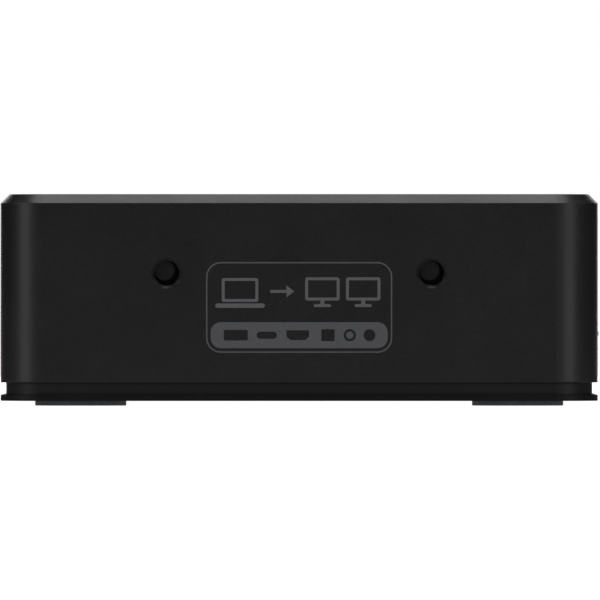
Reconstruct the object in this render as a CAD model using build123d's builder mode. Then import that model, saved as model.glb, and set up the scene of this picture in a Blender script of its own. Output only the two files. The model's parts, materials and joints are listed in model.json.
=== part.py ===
from build123d import *

import os

os.makedirs("parts", exist_ok=True)

# Laptop docking station, in millimetres. The origin is on the resting surface under the
# middle of the case. +X runs along the case, -Y is the front with the power button,
# +Y is the rear with the row of sockets, and +Z is up.

# ---------------------------------------------------------------- driving dimensions
# Case
case_length = 220.0
case_depth = 85.0
case_height = 30.1
corner_radius = 6.0
roof_bevel = 1.3
edge_round = 0.15
shell_wall = 2.0
roof = 2.0

# Base: a flange that shows, a shadow groove above it, and a lip that locates the shell
flange_thickness = 0.9
groove_height = 1.7
groove_depth = 0.8
floor_thickness = 1.6
lip_height = 1.7
lip_thickness = 1.2
lip_clearance = 0.15

# Feet, which also hide the base screws
foot_diameter = 13.0
foot_proud = 0.7
foot_recess = 0.4
foot_inset = 11.37
foot_round = 0.15
foot_room = 0.1

# Field in the underside for the rating label
label_field = (64.0, 34.0)
label_corner = 2.0
label_depth = 0.2

# Screws
case_screw_diameter = 3.0
case_screw_length = 12.0
case_screw_head = 5.6
case_screw_socket = 1.1
case_screw_socket_depth = 1.0
post_diameter = 6.5
boss_wall = 0.5
board_screw_diameter = 2.5
board_screw_length = 4.0
board_screw_head = 4.6
board_screw_head_height = 1.6
board_screw_round = 0.5
board_screw_cross = (2.4, 0.6)
board_screw_cross_depth = 0.9
standoff_diameter = 5.0
standoff_end_inset = 40.0
standoff_front_inset = 21.5
standoff_rear_inset = 28.5
screw_clearance = 0.2
thread_clearance = 0.02

# Bracket holes in both ends of the shell
bracket_spacing = 37.65
bracket_hole_height = 18.9
bracket_hole_diameter = 3.56
bracket_hole_depth = 1.2
bracket_hole_bevel = 0.43

# Lock slot in the middle of the right end, with a steel plate behind it
lock_slot_width = 7.0
lock_slot_height = 3.0
lock_slot_level = 18.9
lock_slot_corner = 0.6
lock_plate_thickness = 1.5
lock_plate_margin = 4.0
lock_plate_corner = 1.0

# Main board
board_thickness = 1.6
board_to_wall = 1.0
board_corner = 3.0
post_to_board = 0.5
port_level = 10.3
port_above_board = 3.5
film_thickness = 0.25
film_margin = 2.0
film_room = 0.5

# Sockets: how far their faces sit behind the case, and the room in each cut-out
port_setback = 0.3
port_room = 0.25
port_bevel = 0.3
front_pitch = 26.0
insert_fit = 0.02
insert_block = 2.5
tongue_setback = 0.8

# Rear panel, as thick as the wall that it fills, less its setback
panel_end_inset = 19.0
panel_corner = 1.5
panel_to_roof = 1.0
panel_setback = 0.5
panel_flange = 0.8
panel_flange_width = 1.5
panel_clearance = 0.15
port_end_margin = 6.0

# Power button, its switch and the status light
button_diameter = 6.0
button_gap = 0.3
button_setback = 0.2
button_flange_diameter = 7.6
button_flange = 0.8
button_travel = 0.5
button_round = 0.3
stem_diameter = 3.0
stem_length = 1.6
plunger_diameter = 2.4
plunger_proud = 1.2
plunger_hidden = 1.4
switch_width = 6.2
switch_depth = 3.6
light_end_inset = 12.0
button_to_light = 11.0
light_diameter = 1.0
light_gap = 0.1
light_proud = 0.2
light_bar_depth = 4.0
light_bar_width = 1.2
lamp_size = (1.6, 0.8)
lamp_height = 0.6
lamp_gap = 0.1

# Folded metal of the socket shells, and their legs
sheet_metal = 0.3
leg_width = 1.2
leg_thickness = 0.4
leg_inset = 1.0
leg_clearance = 0.4

# Flat rectangular sockets, single and in stacks of two
type_a_opening = (12.5, 5.12)
type_a_corner = 0.4
type_a_depth = 14.0
type_a_tongue = (11.1, 1.84)
type_a_tongue_y = 0.65
type_a_contact = (1.0, 0.2)
type_a_contact_places = (-3.5, -1.0, 1.0, 3.5)
type_a_contact_start = 1.2
type_a_contact_length = 8.0
stack_size = (14.5, 15.6)
stack_pitch = 7.8
stack_depth = 17.0
stack_back = 1.0
stack_insert_inset = 0.5

# Small sockets with round ends
type_c_opening = (8.34, 2.56)
type_c_depth = 7.35
type_c_tongue = (6.69, 0.7)
type_c_contact = (0.26, 0.1)
type_c_contact_count = 12
type_c_contact_pitch = 0.5
type_c_contact_start = 1.0
type_c_contact_length = 3.4

# Video sockets, with ten contacts above the tongue and nine below
video_opening = (14.0, 4.55)
video_corner = 1.6
video_depth = 11.5
video_tongue = (10.6, 1.3)
video_leg_inset = 0.5
video_contact = (0.4, 0.1)
video_contact_counts = (9, 10)
video_contact_pitch = 1.0
video_contact_start = 1.2
video_contact_length = 6.0

# Network socket: the plug's way in sits a little low, under two light guides
network_size = (16.0, 13.5)
network_opening = (11.7, 8.2)
network_opening_y = -0.6
network_latch = (6.2, 2.4)
network_depth = 21.0
network_setback = 0.2
network_cavity = 12.0
network_light = (2.6, 1.8)
network_light_x = 6.0
network_light_y = 5.3
network_light_depth = 8.0
network_light_setback = 0.1
network_wire = 0.4
network_wire_count = 8
network_wire_pitch = 1.02
network_wire_length = 6.0
network_wire_drop = 0.5

# Power inlet
inlet_size = (9.0, 11.0)
inlet_depth = 14.0
inlet_bore = 6.3
inlet_wall = 1.2
inlet_floor = 10.0
inlet_pin = 2.5
inlet_pin_setback = 1.0
inlet_pin_round = 0.5

# Headset jack
jack_width = 7.0
jack_depth = 12.5
jack_bore = 3.6
jack_ring_outer = 5.8
jack_ring_length = 2.4
jack_ring_bevel = 0.35

# Packages on the board, as length, depth and height
chip_size = (22.0, 22.0, 1.2)
memory_size = (9.0, 8.0, 1.0)
hub_size = (12.0, 12.0, 0.9)
audio_size = (6.0, 6.0, 0.9)
network_chip_size = (8.0, 8.0, 0.9)
transformer_size = (16.0, 9.0, 5.5)
inductor_size = (7.0, 7.0, 4.0)
crystal_size = (3.2, 2.5, 0.8)
ceramic_size = (1.6, 0.8, 0.8)
capacitor_diameter = 6.3
capacitor_height = 7.7
capacitor_round = 0.5
shield_size = 19.0
shield_height = 3.0

# Cooling
pad_thickness = 0.5
pad_inset = 1.0
sink_length = 40.0
sink_depth = 28.0
sink_base = 2.0
sink_to_roof = 6.0
fin_count = 9
fin_thickness = 1.2

# Small allowance that lets a cutting shape pass clear through a face
past = 0.5

# ---------------------------------------------------------------- levels and places
half_length = case_length / 2
half_depth = case_depth / 2
flange_top = foot_proud + flange_thickness
shell_bottom = flange_top + groove_height
floor_top = foot_proud + floor_thickness
lip_top = shell_bottom + lip_height
ceiling = case_height - roof
lip_outer = shell_wall + lip_clearance
lip_inner = lip_outer + lip_thickness

board_top = port_level - port_above_board
board_bottom = board_top - board_thickness
board_inset = shell_wall + board_to_wall

post_x = half_length - foot_inset
post_y = half_depth - foot_inset
foot_top = foot_proud + foot_recess

standoff_columns = (-(half_length - standoff_end_inset), 0.0, half_length - standoff_end_inset)
standoff_rows = (-(half_depth - standoff_front_inset), half_depth - standoff_rear_inset)
standoff_places = [(x, y) for x in standoff_columns for y in standoff_rows]

front_face = -half_depth + port_setback
rear_panel_face = half_depth - panel_setback
rear_face = half_depth - port_setback
leg_setback = shell_wall + panel_flange - port_setback + leg_clearance
panel_half = half_length - panel_end_inset
panel_top = ceiling - panel_to_roof - panel_flange_width
panel_thickness = shell_wall - panel_setback

light_x = -half_length + light_end_inset
button_x = light_x + button_to_light
flange_front = -half_depth + shell_wall + button_gap
flange_back = flange_front + button_flange
front_ports = {
    "front_type_c": -2 * front_pitch,
    "front_type_a_left": -front_pitch,
    "front_type_a_right": 0.0,
    "headset_jack": front_pitch,
}

# The rear row runs from the left end to the right end with equal gaps.
rear_widths = {
    "power_inlet": inlet_size[0],
    "host_type_c": type_c_opening[0] + 2 * sheet_metal,
    "video_port_left": video_opening[0] + 2 * sheet_metal,
    "video_port_right": video_opening[0] + 2 * sheet_metal,
    "network_socket": network_size[0],
    "rear_stack_left": stack_size[0],
    "rear_stack_right": stack_size[0],
}
rear_span = 2 * (panel_half - port_end_margin)
rear_gap = (rear_span - sum(rear_widths.values())) / (len(rear_widths) - 1)
rear_ports = {}
rear_edge = -rear_span / 2
for port_name, port_width in rear_widths.items():
    rear_ports[port_name] = rear_edge + port_width / 2
    rear_edge += port_width + rear_gap

chip_x = standoff_columns[0] / 2
hub_x = standoff_columns[2] / 2
chip_top = board_top + chip_size[2]
stack_level = board_top + stack_size[1] / 2
network_level = board_top + network_size[1] / 2
inlet_level = board_top + inlet_size[1] / 2


# ---------------------------------------------------------------- shared helpers
def save(piece, name):
    """Labels a finished piece and writes its file."""
    piece.part.label = name
    export_step(piece.part, f"parts/{name}.step")


def front_plane(x, z, y=-half_depth):
    """A plane facing into the case from the front, with its own Y up."""
    return Plane(origin=(x, y, z), x_dir=(-1, 0, 0), z_dir=(0, 1, 0))


def rear_plane(x, z, y=half_depth):
    """A plane facing into the case from the rear, with its own Y up."""
    return Plane(origin=(x, y, z), x_dir=(1, 0, 0), z_dir=(0, -1, 0))


def end_plane(side, y, z):
    """A plane facing into the case from the left (-1) or right (+1) end, with its own Y up."""
    return Plane(origin=(side * half_length, y, z), x_dir=(0, -side, 0), z_dir=(-side, 0, 0))


def case_outline(inset):
    """The case's plan outline, drawn in from its edge."""
    RectangleRounded(case_length - 2 * inset, case_depth - 2 * inset, corner_radius - inset)


def type_a_outline(grow):
    """Opening of a flat rectangular socket."""
    width, height = type_a_opening
    RectangleRounded(width + 2 * grow, height + 2 * grow, type_a_corner + grow)


def type_c_outline(grow):
    """Opening of a small socket with round ends."""
    SlotOverall(type_c_opening[0] + 2 * grow, type_c_opening[1] + 2 * grow)


def video_outline(grow):
    """Opening of a video socket, with its two lower corners cut off."""
    half = video_opening[0] / 2 + grow
    rise = video_opening[1] / 2 + grow
    Polygon(
        (-half, rise),
        (-half, -rise + video_corner),
        (-half + video_corner, -rise),
        (half - video_corner, -rise),
        (half, -rise + video_corner),
        (half, rise),
        align=None,
    )


def stack_outline(grow):
    """Outside of a double stacked socket."""
    width, height = stack_size
    RectangleRounded(width + 2 * grow, height + 2 * grow, type_a_corner + grow)


def network_outline(grow):
    """Outside of the network socket."""
    width, height = network_size
    RectangleRounded(width + 2 * grow, height + 2 * grow, sheet_metal + grow)


def inlet_outline(grow):
    """The plug's way into the power inlet."""
    Circle(inlet_bore / 2 + inlet_wall + grow)


def socket_shell(face, opening, outline, depth, leg_x):
    """A folded metal tube behind the face, with four legs that stand on the board."""
    board_below = board_top - face.origin.Z
    metal_bottom = -opening[1] / 2 - sheet_metal / 2
    leg_height = metal_bottom - board_below
    leg_middle = board_below + leg_height / 2
    with BuildPart() as shell:
        with BuildSketch(face):
            outline(sheet_metal)
        extrude(amount=depth)
        with BuildSketch(face):
            outline(0)
        extrude(amount=depth, mode=Mode.SUBTRACT)
        for leg_start in (leg_setback, depth - leg_width - leg_clearance):
            with BuildSketch(face.offset(leg_start)):
                with Locations((-leg_x, leg_middle), (leg_x, leg_middle)):
                    Rectangle(leg_thickness, leg_height)
            extrude(amount=leg_width)
    return shell


def socket_insert(face, outline, depth, tongue, tongue_y=0.0):
    """The moulded block that closes a socket's back, with its contact tongue."""
    with BuildPart() as insert:
        with BuildSketch(face.offset(depth - insert_block)):
            outline(-insert_fit)
        extrude(amount=insert_block)
        with BuildSketch(face.offset(tongue_setback)):
            with Locations((0, tongue_y)):
                Rectangle(*tongue)
        extrude(amount=depth - insert_block - tongue_setback)
    return insert


def contact_strips(face, places, y, strip, start, length):
    """Spring contacts of one section, in a row across the socket at one height."""
    with BuildSketch(face.offset(start)) as strips:
        with Locations(*[(x, y) for x in places]):
            Rectangle(*strip)
    extrude(strips.sketch, amount=length)


def wall_opening(face, outline, skin, through):
    """Cuts the way for a socket through a wall, with a small bevel at its mouth.

    The skin is how much the socket's outside is larger than its outline.
    """
    with BuildSketch(face) as opening:
        outline(skin + port_room)
    extrude(opening.sketch, amount=through, mode=Mode.SUBTRACT)
    with BuildSketch(face) as mouth:
        outline(skin + port_room + port_bevel)
    extrude(mouth.sketch, amount=port_bevel, taper=45, mode=Mode.SUBTRACT)


def even_places(count, pitch):
    """Centre positions of a row of things about zero."""
    return [(index - (count - 1) / 2) * pitch for index in range(count)]


# ---------------------------------------------------------------- housing shell
front_outlines = {
    "front_type_c": type_c_outline,
    "front_type_a_left": type_a_outline,
    "front_type_a_right": type_a_outline,
}

with BuildPart() as housing_shell:
    with BuildSketch(Plane.XY.offset(shell_bottom)):
        case_outline(0)
    extrude(amount=case_height - shell_bottom)
    chamfer(housing_shell.faces().sort_by(Axis.Z)[-1].edges(), roof_bevel)
    # Rising through the shell: lower rim, upright corners, bevel's lower rim, its corners, roof
    rims = housing_shell.edges().group_by(Axis.Z)
    fillet(rims[0] + rims[2] + rims[4], edge_round)
    with BuildSketch(Plane.XY.offset(shell_bottom)):
        case_outline(shell_wall)
    extrude(amount=ceiling - shell_bottom, mode=Mode.SUBTRACT)
    # Four posts hang from the roof over the feet and take the base screws.
    with BuildSketch(Plane.XY.offset(lip_top)):
        with GridLocations(2 * post_x, 2 * post_y, 2, 2):
            Circle(post_diameter / 2)
    extrude(amount=ceiling - lip_top)
    with BuildSketch(Plane.XY.offset(lip_top)):
        with GridLocations(2 * post_x, 2 * post_y, 2, 2):
            Circle(case_screw_diameter / 2 + thread_clearance)
    extrude(amount=case_screw_length, mode=Mode.SUBTRACT)
    # The rear wall is open below its top band, and the rear panel fills the gap.
    with BuildSketch(rear_plane(0, (shell_bottom + panel_top) / 2)) as rear_window:
        Rectangle(2 * panel_half, panel_top - shell_bottom)
        fillet(rear_window.vertices().group_by(Axis.Y)[-1], panel_corner)
    extrude(amount=shell_wall + past, mode=Mode.SUBTRACT)
    # Sockets in the front wall
    for port_name, port_outline in front_outlines.items():
        port_face = front_plane(front_ports[port_name], port_level)
        wall_opening(port_face, port_outline, sheet_metal, shell_wall + past)
    # Round openings in the front wall: headset socket, power button and light
    with BuildSketch(front_plane(0, port_level)):
        with Locations((-front_ports["headset_jack"], 0)):
            Circle(jack_ring_outer / 2 + port_room)
        with Locations((-button_x, 0)):
            Circle(button_diameter / 2 + button_gap)
        with Locations((-light_x, 0)):
            Circle(light_diameter / 2 + light_gap)
    extrude(amount=shell_wall + past, mode=Mode.SUBTRACT)
    with BuildSketch(front_plane(0, port_level)):
        with Locations((-front_ports["headset_jack"], 0)):
            Circle(jack_ring_outer / 2 + port_room + port_bevel)
        with Locations((-button_x, 0)):
            Circle(button_diameter / 2 + button_gap + port_bevel)
    extrude(amount=port_bevel, taper=45, mode=Mode.SUBTRACT)
    # Bracket holes with a bevelled mouth, two in each end
    for side in (-1, 1):
        bracket_face = end_plane(side, 0, bracket_hole_height)
        with BuildSketch(bracket_face):
            with GridLocations(bracket_spacing, 1, 2, 1):
                Circle(bracket_hole_diameter / 2)
        extrude(amount=bracket_hole_depth, mode=Mode.SUBTRACT)
        with BuildSketch(bracket_face):
            with GridLocations(bracket_spacing, 1, 2, 1):
                Circle(bracket_hole_diameter / 2 + bracket_hole_bevel)
        extrude(amount=bracket_hole_bevel, taper=45, mode=Mode.SUBTRACT)
    # Lock slot in the right end
    with BuildSketch(end_plane(1, 0, lock_slot_level)):
        RectangleRounded(lock_slot_width, lock_slot_height, lock_slot_corner)
    extrude(amount=shell_wall + past, mode=Mode.SUBTRACT)
save(housing_shell, "housing_shell")

# ---------------------------------------------------------------- base plate
with BuildPart() as base_plate:
    with BuildSketch(Plane.XY.offset(foot_proud)):
        case_outline(0)
    extrude(amount=flange_thickness)
    fillet(base_plate.faces().filter_by(Axis.Z).edges(), edge_round)
    with BuildSketch(Plane.XY.offset(flange_top)):
        case_outline(groove_depth)
    extrude(amount=groove_height)
    with BuildSketch(Plane.XY.offset(shell_bottom)):
        case_outline(lip_outer)
    extrude(amount=lip_height)
    with BuildSketch(Plane.XY.offset(floor_top)):
        case_outline(lip_inner)
    extrude(amount=lip_top - floor_top, mode=Mode.SUBTRACT)
    # A boss over each foot carries the shell's post.
    with BuildSketch(Plane.XY.offset(floor_top)):
        with GridLocations(2 * post_x, 2 * post_y, 2, 2):
            Circle(post_diameter / 2 + boss_wall)
    extrude(amount=lip_top - floor_top)
    # Foot recesses, then countersunk screw holes in their floors
    with BuildSketch(Plane.XY.offset(foot_proud)):
        with GridLocations(2 * post_x, 2 * post_y, 2, 2):
            Circle(foot_diameter / 2 + foot_room)
    extrude(amount=foot_recess, mode=Mode.SUBTRACT)
    with Locations(Plane((0, 0, foot_top), x_dir=(1, 0, 0), z_dir=(0, 0, -1))):
        with GridLocations(2 * post_x, 2 * post_y, 2, 2):
            CounterSinkHole(
                case_screw_diameter / 2 + screw_clearance,
                case_screw_head / 2 + screw_clearance,
                depth=lip_top - foot_top + past,
                counter_sink_angle=90,
            )
    # A shallow field in the underside for the rating label
    with BuildSketch(Plane.XY.offset(foot_proud)):
        RectangleRounded(*label_field, label_corner)
    extrude(amount=label_depth, mode=Mode.SUBTRACT)
save(base_plate, "base_plate")

# ---------------------------------------------------------------- feet and case screws
for foot_name, foot_x, foot_y in (
    ("foot_front_left", -post_x, -post_y),
    ("foot_front_right", post_x, -post_y),
    ("foot_rear_left", -post_x, post_y),
    ("foot_rear_right", post_x, post_y),
):
    with BuildPart() as foot:
        with BuildSketch(Plane((foot_x, foot_y, 0))):
            Circle(foot_diameter / 2)
        extrude(amount=foot_top)
        fillet(foot.edges().group_by(Axis.Z)[0], foot_round)
    save(foot, foot_name)

with BuildPart() as base_screws:
    head_height = (case_screw_head - case_screw_diameter) / 2
    head_level = foot_top + screw_clearance
    with BuildSketch(Plane.XY.offset(head_level)):
        with GridLocations(2 * post_x, 2 * post_y, 2, 2):
            Circle(case_screw_head / 2)
    extrude(amount=head_height, taper=45)
    with BuildSketch(Plane.XY.offset(head_level)):
        with GridLocations(2 * post_x, 2 * post_y, 2, 2):
            Circle(case_screw_diameter / 2)
    extrude(amount=case_screw_length)
    with BuildSketch(Plane.XY.offset(head_level)):
        with GridLocations(2 * post_x, 2 * post_y, 2, 2):
            RegularPolygon(case_screw_socket, 6)
    extrude(amount=case_screw_socket_depth, mode=Mode.SUBTRACT)
save(base_screws, "base_screws")

# ---------------------------------------------------------------- rear panel
# Outline, skin and level of each socket in the rear row
rear_outlines = {
    "host_type_c": (type_c_outline, sheet_metal, port_level),
    "video_port_left": (video_outline, sheet_metal, port_level),
    "video_port_right": (video_outline, sheet_metal, port_level),
    "network_socket": (network_outline, 0, network_level),
    "rear_stack_left": (stack_outline, 0, stack_level),
    "rear_stack_right": (stack_outline, 0, stack_level),
    "power_inlet": (inlet_outline, 0, inlet_level),
}

with BuildPart() as rear_panel:
    panel_width = 2 * (panel_half - panel_clearance)
    panel_height = panel_top - panel_clearance - shell_bottom
    panel_middle = shell_bottom + panel_height / 2
    with BuildSketch(rear_plane(0, panel_middle, rear_panel_face)) as panel_sketch:
        Rectangle(panel_width, panel_height)
        fillet(panel_sketch.vertices().group_by(Axis.Y)[-1], panel_corner)
    extrude(amount=panel_thickness)
    # A thin flange inside the case bears on the inner face of the shell's rear wall.
    flange_bottom = lip_top + panel_clearance
    flange_height = panel_top + panel_flange_width - flange_bottom
    flange_middle = flange_bottom + flange_height / 2
    with BuildSketch(rear_plane(0, flange_middle, half_depth - shell_wall)):
        Rectangle(2 * (panel_half + panel_flange_width), flange_height)
    extrude(amount=panel_flange)
    for port_name, (port_outline, skin, level) in rear_outlines.items():
        port_face = rear_plane(rear_ports[port_name], level, rear_panel_face)
        wall_opening(port_face, port_outline, skin, panel_thickness + panel_flange + past)
save(rear_panel, "rear_panel")

# ---------------------------------------------------------------- main board and its fixings
with BuildPart() as main_board:
    with BuildSketch(Plane.XY.offset(board_bottom)):
        RectangleRounded(case_length - 2 * board_inset, case_depth - 2 * board_inset, board_corner)
        with GridLocations(2 * post_x, 2 * post_y, 2, 2):
            Circle(post_diameter / 2 + post_to_board, mode=Mode.SUBTRACT)
        with Locations(*standoff_places):
            Circle(board_screw_diameter / 2 + screw_clearance, mode=Mode.SUBTRACT)
        # A notch in the front edge clears the power button's flange and its travel.
        with Locations((button_x, -half_depth + board_inset)):
            notch_width = button_flange_diameter + 2 * button_gap
            notch_depth = flange_back + button_travel + button_gap + half_depth - board_inset
            Rectangle(notch_width, 2 * notch_depth, mode=Mode.SUBTRACT)
    extrude(amount=board_thickness)
save(main_board, "main_board")

with BuildPart() as insulating_sheet:
    with BuildSketch(Plane.XY.offset(floor_top)):
        RectangleRounded(
            case_length - 2 * (foot_inset + post_diameter),
            case_depth - 2 * (lip_inner + film_margin),
            film_margin,
        )
        with Locations(*standoff_places):
            Circle(standoff_diameter / 2 + film_room, mode=Mode.SUBTRACT)
    extrude(amount=film_thickness)
save(insulating_sheet, "insulating_sheet")

with BuildPart() as board_standoffs:
    with BuildSketch(Plane.XY.offset(floor_top)):
        with Locations(*standoff_places):
            Circle(standoff_diameter / 2)
            Circle(board_screw_diameter / 2 + thread_clearance, mode=Mode.SUBTRACT)
    extrude(amount=board_bottom - floor_top)
save(board_standoffs, "board_standoffs")

with BuildPart() as board_screws:
    with BuildSketch(Plane.XY.offset(board_top)):
        with Locations(*standoff_places):
            Circle(board_screw_head / 2)
    extrude(amount=board_screw_head_height)
    fillet(board_screws.edges().group_by(Axis.Z)[-1], board_screw_round)
    with BuildSketch(Plane.XY.offset(board_top - board_screw_length)):
        with Locations(*standoff_places):
            Circle(board_screw_diameter / 2)
    extrude(amount=board_screw_length)
    with BuildSketch(Plane.XY.offset(board_top + board_screw_head_height)):
        with Locations(*standoff_places):
            Rectangle(*board_screw_cross)
            Rectangle(*reversed(board_screw_cross))
    extrude(amount=-board_screw_cross_depth, mode=Mode.SUBTRACT)
save(board_screws, "board_screws")


# ---------------------------------------------------------------- board components
def board_blocks(name, places, size, base=board_top, round_off=0.0):
    """A group of equal flat packages standing on the board."""
    length, depth, height = size
    with BuildPart() as blocks:
        with BuildSketch(Plane.XY.offset(base)):
            with Locations(*places):
                Rectangle(length, depth)
        extrude(amount=height)
        if round_off:
            chamfer(blocks.edges().group_by(Axis.Z)[-1], round_off)
    save(blocks, name)


pad_size = (chip_size[0] - 2 * pad_inset, chip_size[1] - 2 * pad_inset, pad_thickness)
memory_places = [(chip_x + x, standoff_rows[0]) for x in even_places(2, 12.0)]
audio_place = (front_ports["headset_jack"], standoff_rows[0])
inductor_x = -half_length + 22.0
inductor_places = [(inductor_x + x, y) for x in even_places(2, 9.0) for y in even_places(2, 9.0)]
capacitor_places = [(-half_length + 35.0, y) for y in even_places(3, 9.0)]
crystal_places = [(chip_x + 16.0, -16.0), (hub_x + 12.0, 0), (hub_x - 14.0, 0)]
ceramic_places = [(hub_x + x, y) for x in even_places(8, 3.0) for y in (-14.0, 14.0)]
ceramic_places += [(chip_x + x, 18.0) for x in even_places(10, 3.0)]

board_blocks("graphics_chip", [(chip_x, 0)], chip_size, round_off=0.2)
board_blocks("thermal_pad", [(chip_x, 0)], pad_size, base=chip_top)
board_blocks("memory_chips", memory_places, memory_size, round_off=0.15)
board_blocks("hub_chip", [(hub_x, 0)], hub_size, round_off=0.15)
board_blocks("audio_chip", [audio_place], audio_size, round_off=0.15)
board_blocks("network_chip", [(hub_x - 22.0, 0)], network_chip_size, round_off=0.15)
board_blocks("network_transformer", [(hub_x + 22.0, 2.0)], transformer_size, round_off=0.4)
board_blocks("power_inductors", inductor_places, inductor_size, round_off=0.6)
board_blocks("crystals", crystal_places, crystal_size)
board_blocks("ceramic_capacitors", ceramic_places, ceramic_size)

with BuildPart() as bulk_capacitors:
    with BuildSketch(Plane.XY.offset(board_top)):
        with Locations(*capacitor_places):
            Circle(capacitor_diameter / 2)
    extrude(amount=capacitor_height)
    fillet(bulk_capacitors.edges().group_by(Axis.Z)[-1], capacitor_round)
save(bulk_capacitors, "bulk_capacitors")

with BuildPart() as shield_can:
    with BuildSketch(Plane.XY.offset(board_top)):
        with Locations((hub_x, 0)):
            Rectangle(shield_size, shield_size)
    extrude(amount=shield_height)
    with BuildSketch(Plane.XY.offset(board_top)):
        with Locations((hub_x, 0)):
            Rectangle(shield_size - 2 * sheet_metal, shield_size - 2 * sheet_metal)
    extrude(amount=shield_height - sheet_metal, mode=Mode.SUBTRACT)
save(shield_can, "shield_can")

with BuildPart() as heat_sink:
    sink_bottom = chip_top + pad_thickness
    with BuildSketch(Plane.XY.offset(sink_bottom)):
        with Locations((chip_x, 0)):
            Rectangle(sink_length, sink_depth)
    extrude(amount=sink_base)
    with BuildSketch(Plane.XY.offset(sink_bottom + sink_base)):
        with Locations((chip_x, 0)):
            with GridLocations(1, (sink_depth - fin_thickness) / (fin_count - 1), 1, fin_count):
                Rectangle(sink_length, fin_thickness)
    extrude(amount=ceiling - sink_to_roof - sink_bottom - sink_base)
save(heat_sink, "heat_sink")

# ---------------------------------------------------------------- power button and switch
cap_front = -half_depth + button_setback
stem_end = flange_back + stem_length

with BuildPart() as power_button:
    with BuildSketch(front_plane(button_x, port_level, cap_front)):
        Circle(button_diameter / 2)
    extrude(amount=flange_front - cap_front)
    fillet(power_button.edges().group_by(Axis.Y)[0], button_round)
    with BuildSketch(front_plane(button_x, port_level, flange_front)):
        Circle(button_flange_diameter / 2)
    extrude(amount=button_flange)
    with BuildSketch(front_plane(button_x, port_level, flange_back)):
        Circle(stem_diameter / 2)
    extrude(amount=stem_length)
save(power_button, "power_button")

# The switch lies on its side with its plunger towards the button's stem.
switch_face = stem_end + plunger_proud
plunger_end = switch_face + plunger_hidden

with BuildPart() as switch_plunger:
    with BuildSketch(front_plane(button_x, port_level, stem_end)):
        Circle(plunger_diameter / 2)
    extrude(amount=plunger_end - stem_end)
save(switch_plunger, "switch_plunger")

with BuildPart() as switch_body:
    with BuildSketch(front_plane(button_x, port_level, switch_face)):
        Rectangle(switch_width, 2 * port_above_board)
    extrude(amount=switch_depth)
    with BuildSketch(front_plane(button_x, port_level, switch_face)):
        Circle(plunger_diameter / 2 + button_gap)
    extrude(amount=plunger_end + button_travel + button_gap - switch_face, mode=Mode.SUBTRACT)
save(switch_body, "switch_body")

# ---------------------------------------------------------------- status light
light_y = -half_depth + light_bar_depth

with BuildPart() as status_lamp:
    with BuildSketch(Plane((light_x, light_y, board_top))):
        Rectangle(*lamp_size)
    extrude(amount=lamp_height)
save(status_lamp, "status_lamp")

with BuildPart() as light_pipe:
    light_radius = light_diameter / 2
    bar_half = light_bar_width / 2
    dome_radius = (light_radius**2 + light_proud**2) / (2 * light_proud)
    # Upright bar over the lamp, with its far upper corner cut at 45 degrees as a mirror
    with BuildSketch(Plane((light_x - bar_half, light_y, 0), x_dir=(0, 1, 0), z_dir=(1, 0, 0))):
        Polygon(
            (-bar_half, board_top + lamp_height + lamp_gap),
            (bar_half, board_top + lamp_height + lamp_gap),
            (bar_half, port_level - bar_half),
            (-bar_half, port_level + bar_half),
            align=None,
        )
    extrude(amount=light_bar_width)
    # Round bar from there through the wall, ending in a low dome outside it
    bar_front = light_y - bar_half
    bar_length = bar_front + half_depth
    with BuildSketch(Plane((light_x, bar_front, port_level), x_dir=(0, -1, 0), z_dir=(1, 0, 0))):
        with BuildLine():
            Line((0, 0), (bar_length + light_proud, 0))
            RadiusArc((bar_length + light_proud, 0), (bar_length, -light_radius), dome_radius)
            Line((bar_length, -light_radius), (0, -light_radius))
            Line((0, -light_radius), (0, 0))
        make_face()
    revolve(axis=Axis((light_x, 0, port_level), (0, -1, 0)))
save(light_pipe, "light_pipe")


# ---------------------------------------------------------------- single sockets
def type_a_socket(name, face):
    """A flat rectangular socket with its insert."""
    leg_x = type_a_opening[0] / 2 + sheet_metal - leg_inset
    shell = socket_shell(face, type_a_opening, type_a_outline, type_a_depth, leg_x)
    save(shell, f"{name}_shell")
    insert = socket_insert(face, type_a_outline, type_a_depth, type_a_tongue, type_a_tongue_y)
    save(insert, f"{name}_insert")


def type_c_socket(name, face):
    """A small round-ended socket with its insert."""
    leg_x = (type_c_opening[0] - type_c_opening[1]) / 2
    shell = socket_shell(face, type_c_opening, type_c_outline, type_c_depth, leg_x)
    save(shell, f"{name}_shell")
    insert = socket_insert(face, type_c_outline, type_c_depth, type_c_tongue)
    save(insert, f"{name}_insert")


def video_socket(name, face):
    """A video socket with its insert."""
    leg_x = video_opening[0] / 2 - video_corner - video_leg_inset
    shell = socket_shell(face, video_opening, video_outline, video_depth, leg_x)
    save(shell, f"{name}_shell")
    insert = socket_insert(face, video_outline, video_depth, video_tongue)
    save(insert, f"{name}_insert")


type_c_socket("front_type_c", front_plane(front_ports["front_type_c"], port_level, front_face))
for port_name in ("front_type_a_left", "front_type_a_right"):
    type_a_socket(port_name, front_plane(front_ports[port_name], port_level, front_face))
type_c_socket("host_type_c", rear_plane(rear_ports["host_type_c"], port_level, rear_face))
for port_name in ("video_port_left", "video_port_right"):
    video_socket(port_name, rear_plane(rear_ports[port_name], port_level, rear_face))


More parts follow.
